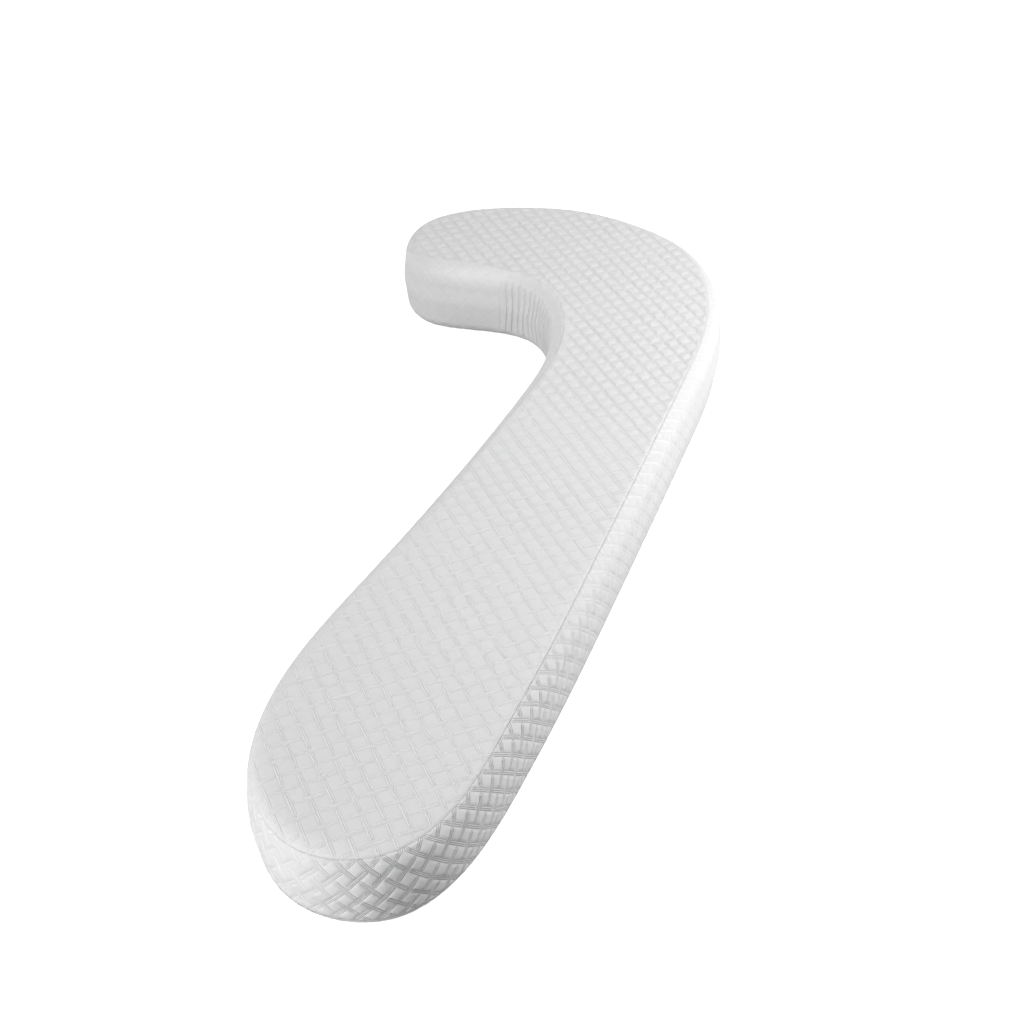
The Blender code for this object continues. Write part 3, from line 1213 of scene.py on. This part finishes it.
@dataclass
class PanelCloth(Cloth):
    """A flat-cut panel laid over a face of the slab and turned over its rounded edge."""

    face: Face
    lattice_shift: tuple[float, float] = (-6.0328, 17.6798)  # the origin's place in it, in pitches
    drift: float = 0.5 * MM  # how far the pattern strays from a true lattice
    drift_lengths: tuple[float, float] = (5.3, 6.1)  # lattice steps, in x and in y
    drift_shift: float = 9.0  # lattice steps between the patterns of the two
    drift_range: tuple[float, float] = (6 * MM, 30 * MM)  # from the seam, none and all of it
    near_swell: float = 0.35  # height of the puffs at the near end, against those at the hook
    swelling: tuple[float, float] = (-0.3, 0.25)  # where along Y the puffs grow to full height
    far_stitches: float = 0.35  # how far the stitches show at the hook, against the near end
    turned_range: tuple[float, float] = (-6 * MM, 14 * MM)  # past the face's flat, where puffs fade
    sewn_width: float = 3.2 * MM  # of the cloth pressed level beside the seam
    sewn_level: float = 0.75  # its height, against the puffs
    tuck_width: float = 11 * MM  # how far the gathers reach into the panel

    def shown(self, forward: np.ndarray) -> np.ndarray:
        """How far the stitches stand out, by the distance towards the hook."""
        return 1 - (1 - self.far_stitches) * smooth_step(forward, *self.swelling)

    def reach(self, walked: np.ndarray) -> np.ndarray:
        """How far the panel runs past the flat of the face.

        Args:
            walked: Distances along the outline.

        Returns:
            Length of the cloth past it at each.
        """
        if self.face is Face.TOP:
            return self.slab.edge_radius * (QUARTER - self.outline.seams(walked))
        return np.full(len(walked), self.slab.edge_radius * (QUARTER - self.slab.lower_seam))

    def flat(self, u: np.ndarray, v: np.ndarray) -> np.ndarray:
        """Lays the pattern out on the cut cloth.

        Args:
            u: First lattice coordinate of each place.
            v: Second lattice coordinate of each place.

        Returns:
            The places in the cut cloth.
        """
        x = (u + v) / math.sqrt(2) - self.lattice_shift[0]
        y = (u - v) / math.sqrt(2) - self.lattice_shift[1]
        return np.column_stack([x, y]) * self.quilting.pitch

    def lattice(self, flat: np.ndarray) -> tuple[np.ndarray, np.ndarray]:
        """Finds where places of the cut cloth lie in the pattern.

        Args:
            flat: The places.

        Returns:
            First and second lattice coordinate of each.
        """
        x = flat[:, 0] / self.quilting.pitch + self.lattice_shift[0]
        y = flat[:, 1] / self.quilting.pitch + self.lattice_shift[1]
        return (x + y) / math.sqrt(2), (x - y) / math.sqrt(2)

    def row(self, from_seam: float) -> tuple[np.ndarray, np.ndarray, np.ndarray]:
        """Places of a row along the seam.

        Args:
            from_seam: Its distance from the seam, into the cloth.

        Returns:
            Distances along the outline, insets from it, and places in the cut cloth.
        """
        walked = self.outline.even(ROW_POINTS)
        inset = self.slab.edge_radius - self.reach(walked) + from_seam
        return walked, inset, self.outline.inside(walked, inset)

    def shape(self, flat: np.ndarray, walked: np.ndarray, inset: np.ndarray) -> np.ndarray:
        """Places in space of points of the cloth.

        Args:
            flat: Their places in the cut cloth.
            walked: Distance along the outline of the point nearest to each.
            inset: How far each lies inside the outline in the cut cloth.

        Returns:
            Their places, with the quilting's relief.
        """
        slab, outward = self.slab, self.outline.normals(walked)
        past = slab.edge_radius - inset
        from_seam = self.reach(walked) - past
        u, v = self.lattice(flat)
        relief = self.relief(u, v, walked, flat[:, 1], from_seam)
        drift = self.drift * smooth_step(from_seam, *self.drift_range)[:, None]
        stray_x = ripple(u, v, self.drift_lengths[0])
        stray_y = ripple(v + self.drift_shift, u, self.drift_lengths[1])
        flat = flat + drift * np.column_stack([stray_x, stray_y])

        turned = np.maximum(past, 0) - slab.edge_radius * QUARTER
        if self.face is Face.TOP:
            level, way, down = slab.thickness, 1.0, turned
        else:
            level, way, down = 0.0, -1.0, slab.upright - turned
        around, height, side, up = slab.side(down)
        over = past > 0
        edge = self.outline.places(walked) - outward * around[:, None]
        ground = np.where(over[:, None], edge, flat)
        height = np.where(over, height, level)
        side, up = np.where(over, side, 0.0), np.where(over, up, way)
        out = relief - self.quilting.rise
        return np.column_stack([ground + outward * (side * out)[:, None], height + up * out])

    def relief(
        self,
        u: np.ndarray,
        v: np.ndarray,
        walked: np.ndarray,
        forward: np.ndarray,
        from_seam: np.ndarray,
    ) -> np.ndarray:
        """Height of the cloth above its stitch lines.

        Args:
            u: First lattice coordinate of each point.
            v: Second lattice coordinate of each point.
            walked: Distance along the outline of the point nearest to each.
            forward: How far each lies towards the hook.
            from_seam: How far each lies from the seam.

        Returns:
            The heights, drawn in at the seam.
        """
        rise = self.quilting.rise
        turned_over = smooth_step(self.reach(walked) - from_seam, *self.turned_range)
        eased = turned_over * (1 - np.minimum(self.outline.puffs(walked), 1))
        swell = self.near_swell + (1 - self.near_swell) * smooth_step(forward, *self.swelling)
        pattern = self.quilting.relief(u, v, swell, self.shown(forward))
        quilted = rise + (pattern - rise) * (1 - eased)
        if self.face is Face.BASE:
            return np.minimum(quilted, rise)
        near = bell(from_seam, self.sewn_width)
        relief = quilted * (1 - near) + self.sewn_level * rise * near
        relief -= self.outline.depths(walked) * bell(from_seam, STITCH_LINE)
        tucked = GATHERS.share(walked / self.outline.length) * bell(from_seam, self.tuck_width)
        return relief - tucked * GATHERS.tuck * GATHERS.wave(walked, np.zeros(len(walked)))

    def drawn_in(self, walked: np.ndarray, depth: float) -> np.ndarray:
        """Places of the sewn edge, a depth under the seam line.

        Args:
            walked: Distances along the outline.
            depth: How far under the stitch lines' level.

        Returns:
            Their places in space.
        """
        slab, gap = self.slab, self.slab.seam_gap / 2
        if self.face is Face.TOP:
            return self.sunk(walked, -slab.edge_radius * self.outline.seams(walked) - gap, depth)
        down = slab.upright + slab.edge_radius * slab.lower_seam + gap
        return self.sunk(walked, np.full(len(walked), down), depth)

    def area(self) -> float:
        """Measures the cut cloth.

        Returns:
            Its area.
        """
        places = self.row(0.0)[2]
        ahead = np.roll(places, -1, axis=0)
        return float(abs((places[:, 0] * ahead[:, 1] - places[:, 1] * ahead[:, 0]).sum()) / 2)

    def cut_size(self) -> tuple[float, float]:
        """Measures the box round the cut cloth.

        Returns:
            Its width and length.
        """
        places = self.row(0.0)[2]
        width, length = places.max(axis=0) - places.min(axis=0)
        return float(width), float(length)


@dataclass
class StripCloth(Cloth):
    """The boxing strip: a straight strip sewn between the two panels, closed in a loop."""

    repeats: int = STRIP_REPEATS
    down_pitch: float = 30.2 * MM  # between crossings straight down the strip
    sewn_width: float = 3.0 * MM  # of the cloth pressed level beside a seam
    sewn_level: float = 0.55  # its height, against the puffs
    roll: float = 0.65  # ridge of the turned edge under the upper seam, against its depth
    roll_place: float = 2.6 * MM
    roll_width: float = 1.5 * MM

    def down_range(self, walked: np.ndarray) -> tuple[np.ndarray, np.ndarray]:
        """Finds the strip's edges on the slab's side.

        Args:
            walked: Distances along the outline.

        Returns:
            Where it starts and where it ends at each.
        """
        radius = self.slab.edge_radius
        upper = -radius * self.outline.seams(walked)
        return upper, np.full(len(walked), self.slab.upright + radius * self.slab.lower_seam)

    def unrolled(self, u: np.ndarray, v: np.ndarray) -> tuple[np.ndarray, np.ndarray]:
        """Lays the pattern out on the straight strip.

        Args:
            u: First lattice coordinate of each place.
            v: Second lattice coordinate of each place.

        Returns:
            Distance of each along the strip, and under its upper seam.
        """
        step = self.outline.length / self.repeats
        along = (u + v) / 2 * step + STRIP_FIRST[0] * self.outline.length
        return along, (u - v) / 2 * self.down_pitch + STRIP_FIRST[1]

    def ringed(self, walked: np.ndarray, down: np.ndarray) -> np.ndarray:
        """Lays the strip out as a flat ring, with its upper edge inwards.

        Args:
            walked: Distance of each point along the outline.
            down: Its place on the slab's side.

        Returns:
            The places in the ring.
        """
        radius = self.outline.length / TURN + down
        angle = TURN * walked / self.outline.length
        return np.column_stack([np.cos(angle), np.sin(angle)]) * radius[:, None]

    def lattice(self, flat: np.ndarray) -> tuple[np.ndarray, np.ndarray]:
        """Finds where places of the flat ring lie in the pattern.

        Args:
            flat: The places.

        Returns:
            First and second lattice coordinate of each.
        """
        turn = np.mod(np.arctan2(flat[:, 1], flat[:, 0]), TURN)
        walked = turn / TURN * self.outline.length
        down = np.linalg.norm(flat, axis=1) - self.outline.length / TURN
        under = down - self.down_range(walked)[0]
        half_sum = (walked / self.outline.length - STRIP_FIRST[0]) * self.repeats
        half_off = (under - STRIP_FIRST[1]) / self.down_pitch
        return half_sum + half_off, half_sum - half_off

    def shape(self, walked: np.ndarray, down: np.ndarray) -> np.ndarray:
        """Places in space of points of the strip, with the quilting's relief.

        Args:
            walked: Distance of each point along the outline.
            down: Its place on the slab's side.

        Returns:
            Their places.
        """
        upper, lower = self.down_range(walked)
        u, v = self.lattice(self.ringed(walked, down))
        relief = self.relief(u, v, walked, down - upper, lower - down)
        inset, height, side, up = self.slab.side(down)
        out = relief - self.quilting.rise
        places = self.outline.inside(walked, inset - side * out)
        return np.column_stack([places, height + up * out])

    def relief(
        self,
        u: np.ndarray,
        v: np.ndarray,
        walked: np.ndarray,
        under: np.ndarray,
        over: np.ndarray,
    ) -> np.ndarray:
        """Height of the cloth above its stitch lines.

        Args:
            u: First lattice coordinate of each point.
            v: Second lattice coordinate of each point.
            walked: Distance of each point along the outline.
            under: How far it is under the upper seam.
            over: How far it is over the lower seam.

        Returns:
            The heights, with the gathers and with both edges drawn in.
        """
        puffs = self.outline.puffs(walked)
        quilted = self.quilting.relief(u, v) * puffs + (1 - puffs) * self.quilting.rise / 2
        gathered = GATHERS.share(walked / self.outline.length)
        folds = GATHERS.depth * GATHERS.wave(walked, under)
        relief = quilted + (folds - GATHERS.depth / 2) * gathered
        from_seam = np.minimum(under, over)
        near = bell(from_seam, self.sewn_width)
        relief = relief * (1 - near) + self.sewn_level * self.quilting.rise * near
        depths = self.outline.depths(walked)
        relief += self.roll * depths * bell(under - self.roll_place, self.roll_width)
        return relief - depths * bell(from_seam, STITCH_LINE)

    def drawn_in(self, walked: np.ndarray, face: Face, depth: float) -> np.ndarray:
        """Places of a sewn edge of the strip, a depth under the seam line.

        Args:
            walked: Distances along the outline.
            face: The face of the slab that the edge is nearest to.
            depth: How far under the stitch lines' level.

        Returns:
            Their places in space.
        """
        start, end = self.down_range(walked)
        gap = self.slab.seam_gap / 2
        return self.sunk(walked, start + gap if face is Face.TOP else end - gap, depth)


# ------------------------------------------------------------------ the pieces


@dataclass
class QuiltedPiece(ABC):
    """A piece of the cover that is cut, quilted and sewn."""

    name: str
    node: str
    slot: str
    cloth: Cloth
    finish: QuiltedKnit

    @abstractmethod
    def shell(self) -> ClothMesh:
        """Makes the closed surface of the piece."""

    @abstractmethod
    def declare(self, piece: bpy.types.Object) -> None:
        """Runs once the piece is built; the pieces here record nothing with it."""

    def build(self) -> bpy.types.Object:
        """Builds the piece, dresses it, hides the imported part that it replaces and calls declare.

        Returns:
            The finished object.
        """
        shell = self.shell()
        piece = shell.build(self.name, self.finish.material(self.cloth.quilting))
        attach(piece, "root")
        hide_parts(self.node)
        self.declare(piece)
        return piece


@dataclass
class QuiltedPanel(QuiltedPiece):
    """The top or base panel of the cover: quilted outer side, plain inner side."""

    cloth: PanelCloth
    lines_reach: float = 1.2  # metres of quilting laid out on each side of the middle

    def shell(self) -> ClothMesh:
        """Makes the closed surface of the panel.

        Returns:
            Its mesh.
        """
        cloth = self.cloth
        mesh, is_top = ClothMesh(), cloth.face is Face.TOP
        cover, numbers, flat = self._field(mesh)
        rows = [self._row(mesh, from_seam) for from_seam in reversed(SEWN_ROWS)]
        join_to_rows(mesh, cover, numbers, flat, rows[:1], cloth, is_top)
        walked, depth = cloth.outline.even(ROW_POINTS), cloth.slab.panel_thickness
        edge = mesh.add(cloth.drawn_in(walked, depth))
        inner = cloth.inner_row(walked, cloth.face, depth)
        cap = mesh.add(inner)
        mesh.fill(cap, inner[:, :2], faces_up=not is_top)
        mesh.chain([numbers for numbers, _ in rows] + [edge, cap], run_down=is_top)
        return mesh

    def _field(self, mesh: ClothMesh) -> tuple[QuiltedField, np.ndarray, np.ndarray]:
        """Adds the quilted squares of the outer side.

        Args:
            mesh: The piece.

        Returns:
            The field, its points' numbers, and their places in the cut cloth.
        """
        cloth, quilting = self.cloth, self.cloth.quilting
        span = int(math.ceil(self.lines_reach / quilting.pitch)) * quilting.steps
        middle = np.array(cloth.lattice(np.zeros((1, 2)))).round().astype(int).ravel()
        lines = np.arange(-span, span)
        index_u, index_v = (grid.ravel() for grid in np.meshgrid(lines, lines, indexing="ij"))
        index_u = index_u + middle[0] * quilting.steps
        index_v = index_v + middle[1] * quilting.steps
        u, v = quilting.place_of(index_u), quilting.place_of(index_v)
        flat = cloth.flat(u, v)
        near = (np.abs(flat) < np.abs(cloth.row(0.0)[2]).max(axis=0)).all(axis=1)
        index_u, index_v, u, v, flat = (part[near] for part in (index_u, index_v, u, v, flat))
        walked, inset = cloth.outline.nearest(flat)
        keep = cloth.slab.edge_radius - inset < cloth.reach(walked) - FIELD_MARGIN
        cover = QuiltedField(quilting, index_u, index_v, keep)
        flat, lattice = flat[keep], np.column_stack([u[keep], v[keep]])
        places = cloth.shape(flat, walked[keep], inset[keep])
        numbers = mesh.add(places, lattice, cloth.shown(flat[:, 1]))
        squares = numbers[cover.squares]
        mesh.faces.append(squares[:, ::-1] if cloth.face is Face.TOP else squares)
        return cover, numbers, flat

    def _row(self, mesh: ClothMesh, from_seam: float) -> tuple[np.ndarray, np.ndarray]:
        """Adds a row along the seam.

        Args:
            mesh: The piece.
            from_seam: The row's distance from the seam.

        Returns:
            Its points' numbers, and their places in the cut cloth.
        """
        cloth = self.cloth
        walked, inset, flat = cloth.row(from_seam)
        lattice = np.column_stack(cloth.lattice(flat))
        return mesh.add(cloth.shape(flat, walked, inset), lattice, cloth.shown(flat[:, 1])), flat

    def declare(self, piece: bpy.types.Object) -> None:
        """Args:
            piece: The finished object; not used.
        """
        self.cloth.cut_size()
        self.cloth.area()


@dataclass
class FilledStrip(QuiltedPiece):
    """The boxing strip with the filling that it holds."""

    cloth: StripCloth
    lines_down: int = 6  # lattice steps of quilting laid out above and below the first crossing

    def shell(self) -> ClothMesh:
        """Makes the closed surface of the strip and its filling.

        Returns:
            Its mesh.
        """
        cloth = self.cloth
        mesh = ClothMesh(wrap=cloth.repeats)
        cover, numbers, flat = self._field(mesh)
        walked = cloth.outline.even(ROW_POINTS)
        upper, lower = cloth.down_range(walked)
        upper_rows = [self._row(mesh, walked, upper + step) for step in SEWN_ROWS]
        lower_rows = [self._row(mesh, walked, lower - step) for step in SEWN_ROWS]
        join_to_rows(mesh, cover, numbers, flat, [upper_rows[-1], lower_rows[-1]], cloth)
        mesh.chain([numbers for numbers, _ in upper_rows], run_down=True)
        mesh.chain([numbers for numbers, _ in lower_rows], run_down=False)
        self._close(mesh, upper_rows[0][0], walked, Face.TOP)
        self._close(mesh, lower_rows[0][0], walked, Face.BASE)
        return mesh

    def _field(self, mesh: ClothMesh) -> tuple[QuiltedField, np.ndarray, np.ndarray]:
        """Adds the quilted squares of the outer side.

        Args:
            mesh: The piece.

        Returns:
            The field, its points' numbers, and their places in the flat ring.
        """
        cloth, quilting = self.cloth, self.cloth.quilting
        wrap, reach = cloth.repeats * quilting.steps, self.lines_down * quilting.steps
        sums, offs = np.meshgrid(np.arange(2 * wrap), np.arange(-reach, reach), indexing="ij")
        sums, offs = sums.ravel(), offs.ravel()
        even = np.mod(sums + offs, 2) == 0
        sums, offs = sums[even], offs[even]
        index_u, index_v = (sums + offs) // 2, (sums - offs) // 2
        u, v = quilting.place_of(index_u), quilting.place_of(index_v)
        walked, under = cloth.unrolled(u, v)
        upper, lower = cloth.down_range(walked)
        down = under + upper
        keep = (under > FIELD_MARGIN) & (down < lower - FIELD_MARGIN)
        cover = QuiltedField(quilting, index_u, index_v, keep, wrap)
        walked, down, lattice = walked[keep], down[keep], np.column_stack([u[keep], v[keep]])
        numbers = mesh.add(cloth.shape(walked, down), lattice, cloth.outline.puffs(walked))
        mesh.faces.append(numbers[cover.squares])
        return cover, numbers, cloth.ringed(walked, down)

    def _row(
        self, mesh: ClothMesh, walked: np.ndarray, down: np.ndarray
    ) -> tuple[np.ndarray, np.ndarray]:
        """Adds a row along an edge of the strip.

        Args:
            mesh: The piece.
            walked: Distance of each point along the outline.
            down: Its place on the slab's side.

        Returns:
            The points' numbers, and their places in the flat ring.
        """
        flat = self.cloth.ringed(walked, down)
        lattice = np.column_stack(self.cloth.lattice(flat))
        puffs = self.cloth.outline.puffs(walked)
        return mesh.add(self.cloth.shape(walked, down), lattice, puffs), flat

    def _close(self, mesh: ClothMesh, edge: np.ndarray, walked: np.ndarray, face: Face) -> None:
        """Adds a sewn edge and the filling's flat side inside it.

        Args:
            mesh: The piece.
            edge: Numbers of the points along the seam.
            walked: Distance of each along the outline.
            face: The face of the slab that the seam is nearest to.
        """
        cloth = self.cloth
        tuck = cloth.slab.panel_thickness + cloth.slab.layer_gap
        sunk = mesh.add(cloth.drawn_in(walked, face, tuck))
        inner = cloth.inner_row(walked, face, tuck)
        cap = mesh.add(inner)
        mesh.chain([cap, sunk, edge], run_down=face is Face.TOP)
        mesh.fill(cap, inner[:, :2], faces_up=face is Face.TOP)

    def declare(self, piece: bpy.types.Object) -> None:
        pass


# ------------------------------------------------------------------ studio


@dataclass(frozen=True)
class SoftBox:
    """A large soft lamp that looks at the middle of the pillow."""

    name: str
    azimuth: float  # degrees from +X towards +Y
    elevation: float  # degrees
    power: float  # watts
    distance: float
    size: float

    def build(self) -> bpy.types.Object:
        """Adds the lamp.

        Returns:
            Its object.
        """
        azimuth, elevation = math.radians(self.azimuth), math.radians(self.elevation)
        flat = math.cos(elevation)
        way = Vector((flat * math.cos(azimuth), flat * math.sin(azimuth), math.sin(elevation)))
        lamp = bpy.data.lights.new(self.name, "AREA")
        lamp.shape, lamp.size, lamp.energy = "SQUARE", self.size, self.power
        made = bpy.data.objects.new(self.name, lamp)
        made.location = way * self.distance
        made.rotation_euler = way.to_track_quat("Z", "Y").to_euler()
        made.visible_camera = False
        bpy.context.scene.collection.objects.link(made)
        return made


@dataclass(frozen=True)
class GlowingPaper:
    """Matt white paper with a glow that keeps it even."""

    name: str = "white_paper"
    white: Colour = (0.9, 0.9, 0.9, 1.0)
    roughness: float = 0.9
    glow: float = 0.78

    def material(self) -> bpy.types.Material:
        """Makes the finish.

        Returns:
            The material.
        """
        made = bpy.data.materials.new(self.name)
        made.use_nodes = True
        shader = made.node_tree.nodes["Principled BSDF"]
        shader.inputs["Base Color"].default_value = self.white
        shader.inputs["Roughness"].default_value = self.roughness
        shader.inputs["Emission Color"].default_value = WHITE
        shader.inputs["Emission Strength"].default_value = self.glow
        return made


@dataclass(frozen=True)
class PaperFloor:
    """White paper that lies flat and bends up to a wall far away, all round the pillow."""

    finish: GlowingPaper = GlowingPaper()
    reach: float = 9.0  # how far it lies flat
    bend: float = 4.0  # radius of its bend up to the wall
    bend_steps: int = 9  # rings of faces in the bend
    wall_height: float = 14.0
    sides: int = 96

    def _profile(self) -> list[tuple[float, float]]:
        """Follows the paper outwards.

        Returns:
            Distance from the middle and height of each of its rings.
        """
        profile = [(self.reach, 0.0)]
        for step in range(1, self.bend_steps + 1):
            turn = QUARTER * step / self.bend_steps
            out, up = self.bend * math.sin(turn), self.bend * (1 - math.cos(turn))
            profile.append((self.reach + out, up))
        profile.append((profile[-1][0], self.wall_height))
        return profile

    def build(self) -> bpy.types.Object:
        """Adds the floor.

        Returns:
            Its object.
        """
        profile, sides = self._profile(), self.sides
        turns = [TURN * side / sides for side in range(sides)]
        points = [(r * math.cos(turn), r * math.sin(turn), z) for r, z in profile for turn in turns]
        faces = [tuple(range(sides))]
        for ring in range(len(profile) - 1):
            low, high = ring * sides, (ring + 1) * sides
            for side in range(sides):
                ahead = (side + 1) % sides
                faces.append((low + ahead, low + side, high + side, high + ahead))
        mesh = bpy.data.meshes.new("floor")
        mesh.from_pydata(points, [], faces)
        mesh.materials.append(self.finish.material())
        floor = bpy.data.objects.new("floor", mesh)
        floor.visible_diffuse = False  # its glow whitens the picture, and doesn't light the cloth
        bpy.context.scene.collection.objects.link(floor)
        return floor


@dataclass(frozen=True)
class Studio:
    """Plain pale floor, soft light and the camera at the photograph's angle."""

    camera_place: tuple[float, float, float] = (0.69417, -1.54534, 1.31354)
    camera_way: tuple[float, float, float] = (-0.28167, 0.73152, -0.62091)
    lens: float = 50.353  # millimetres
    sensor_width: float = 36.0  # millimetres
    sky: float = 0.25
    floor: PaperFloor = PaperFloor()
    lamps: tuple[SoftBox, ...] = (
        SoftBox("far_front_left_soft_box", 240, 30, 232, 6.0, 3.6),
        SoftBox("near_right_soft_box", 26, 25, 28, 2.0, 1.0),
        SoftBox("near_front_low_soft_box", 270, 4, 5.5, 2.0, 1.0),
        SoftBox("near_right_high_soft_box", 10, 50, 5.5, 2.0, 1.0),
        SoftBox("far_back_left_low_soft_box", 140, 8, 100, 6.0, 2.4),
    )

    def build(self) -> None:
        """Adds the floor, the lamps, the sky and the camera."""
        self.floor.build()
        for lamp in self.lamps:
            lamp.build()
        world = bpy.data.worlds.new("studio")
        world.use_nodes = True
        background = world.node_tree.nodes["Background"]
        background.inputs["Color"].default_value = WHITE
        background.inputs["Strength"].default_value = self.sky
        bpy.context.scene.world = world
        bpy.context.scene.view_settings.view_transform = "Standard"
        self._camera()

    def _camera(self) -> None:
        """Adds the camera and makes it the scene's own."""
        data = bpy.data.cameras.new("camera")
        data.lens, data.sensor_width = self.lens, self.sensor_width
        camera = bpy.data.objects.new("camera", data)
        camera.location = self.camera_place
        camera.rotation_euler = Vector(self.camera_way).to_track_quat("-Z", "Y").to_euler()
        bpy.context.scene.collection.objects.link(camera)
        bpy.context.scene.camera = camera


# ------------------------------------------------------------------ main


def write_sizes() -> None:
    """Brings the view layer up to date."""
    bpy.context.view_layer.update()


def main() -> None:
    """Builds the pillow and the studio."""
    logging.basicConfig(level=logging.INFO, format="%(name)s: %(message)s")
    outline, slab = Outline(OUTLINE_POINTS, SEAM_MARKS), Slab()
    raised = Quilting(TOP_LINES, steep=0.45, rise=1.9 * MM, crown=6 * MM, rail_rise=0.95 * MM)
    boxed = Quilting(STRIP_LINES, half_run=0.7, rail_rise=0.9 * MM)
    pressed = Quilting(BASE_LINES)
    # painted shade: soft is the colour that the panels' grooves are darkened to, deep the one for
    # the boxing strip's grooves
    soft, deep = (0.57, 0.57, 0.574, 1.0), (0.47, 0.47, 0.475, 1.0)
    cover = QuiltedKnit("quilted_knit", soft, faint_groove_shade=1.0, bold_groove_shade=0.1)
    boxing = QuiltedKnit("boxing_knit", deep, groove_shade_width=0.8 * MM, creased=True)
    top = PanelCloth(outline, slab, raised, Face.TOP)
    base = PanelCloth(outline, slab, pressed, Face.BASE)
    strip = StripCloth(outline, slab, boxed)
    pieces = (
        QuiltedPanel("quilted_top_panel", "top_panel", "quilted_cover", top, cover),
        FilledStrip("quilted_boxing_strip", "side_panel", "boxing_strip", strip, boxing),
        QuiltedPanel("quilted_base_panel", "bottom_panel", "base_cover", base, cover),
    )
    for piece in pieces:
        made = piece.build()
        made.data.calc_loop_triangles()
        log.info("%s: %d triangles", made.name, len(made.data.loop_triangles))
    Studio().build()
    write_sizes()


if __name__ == "__main__":
    main()
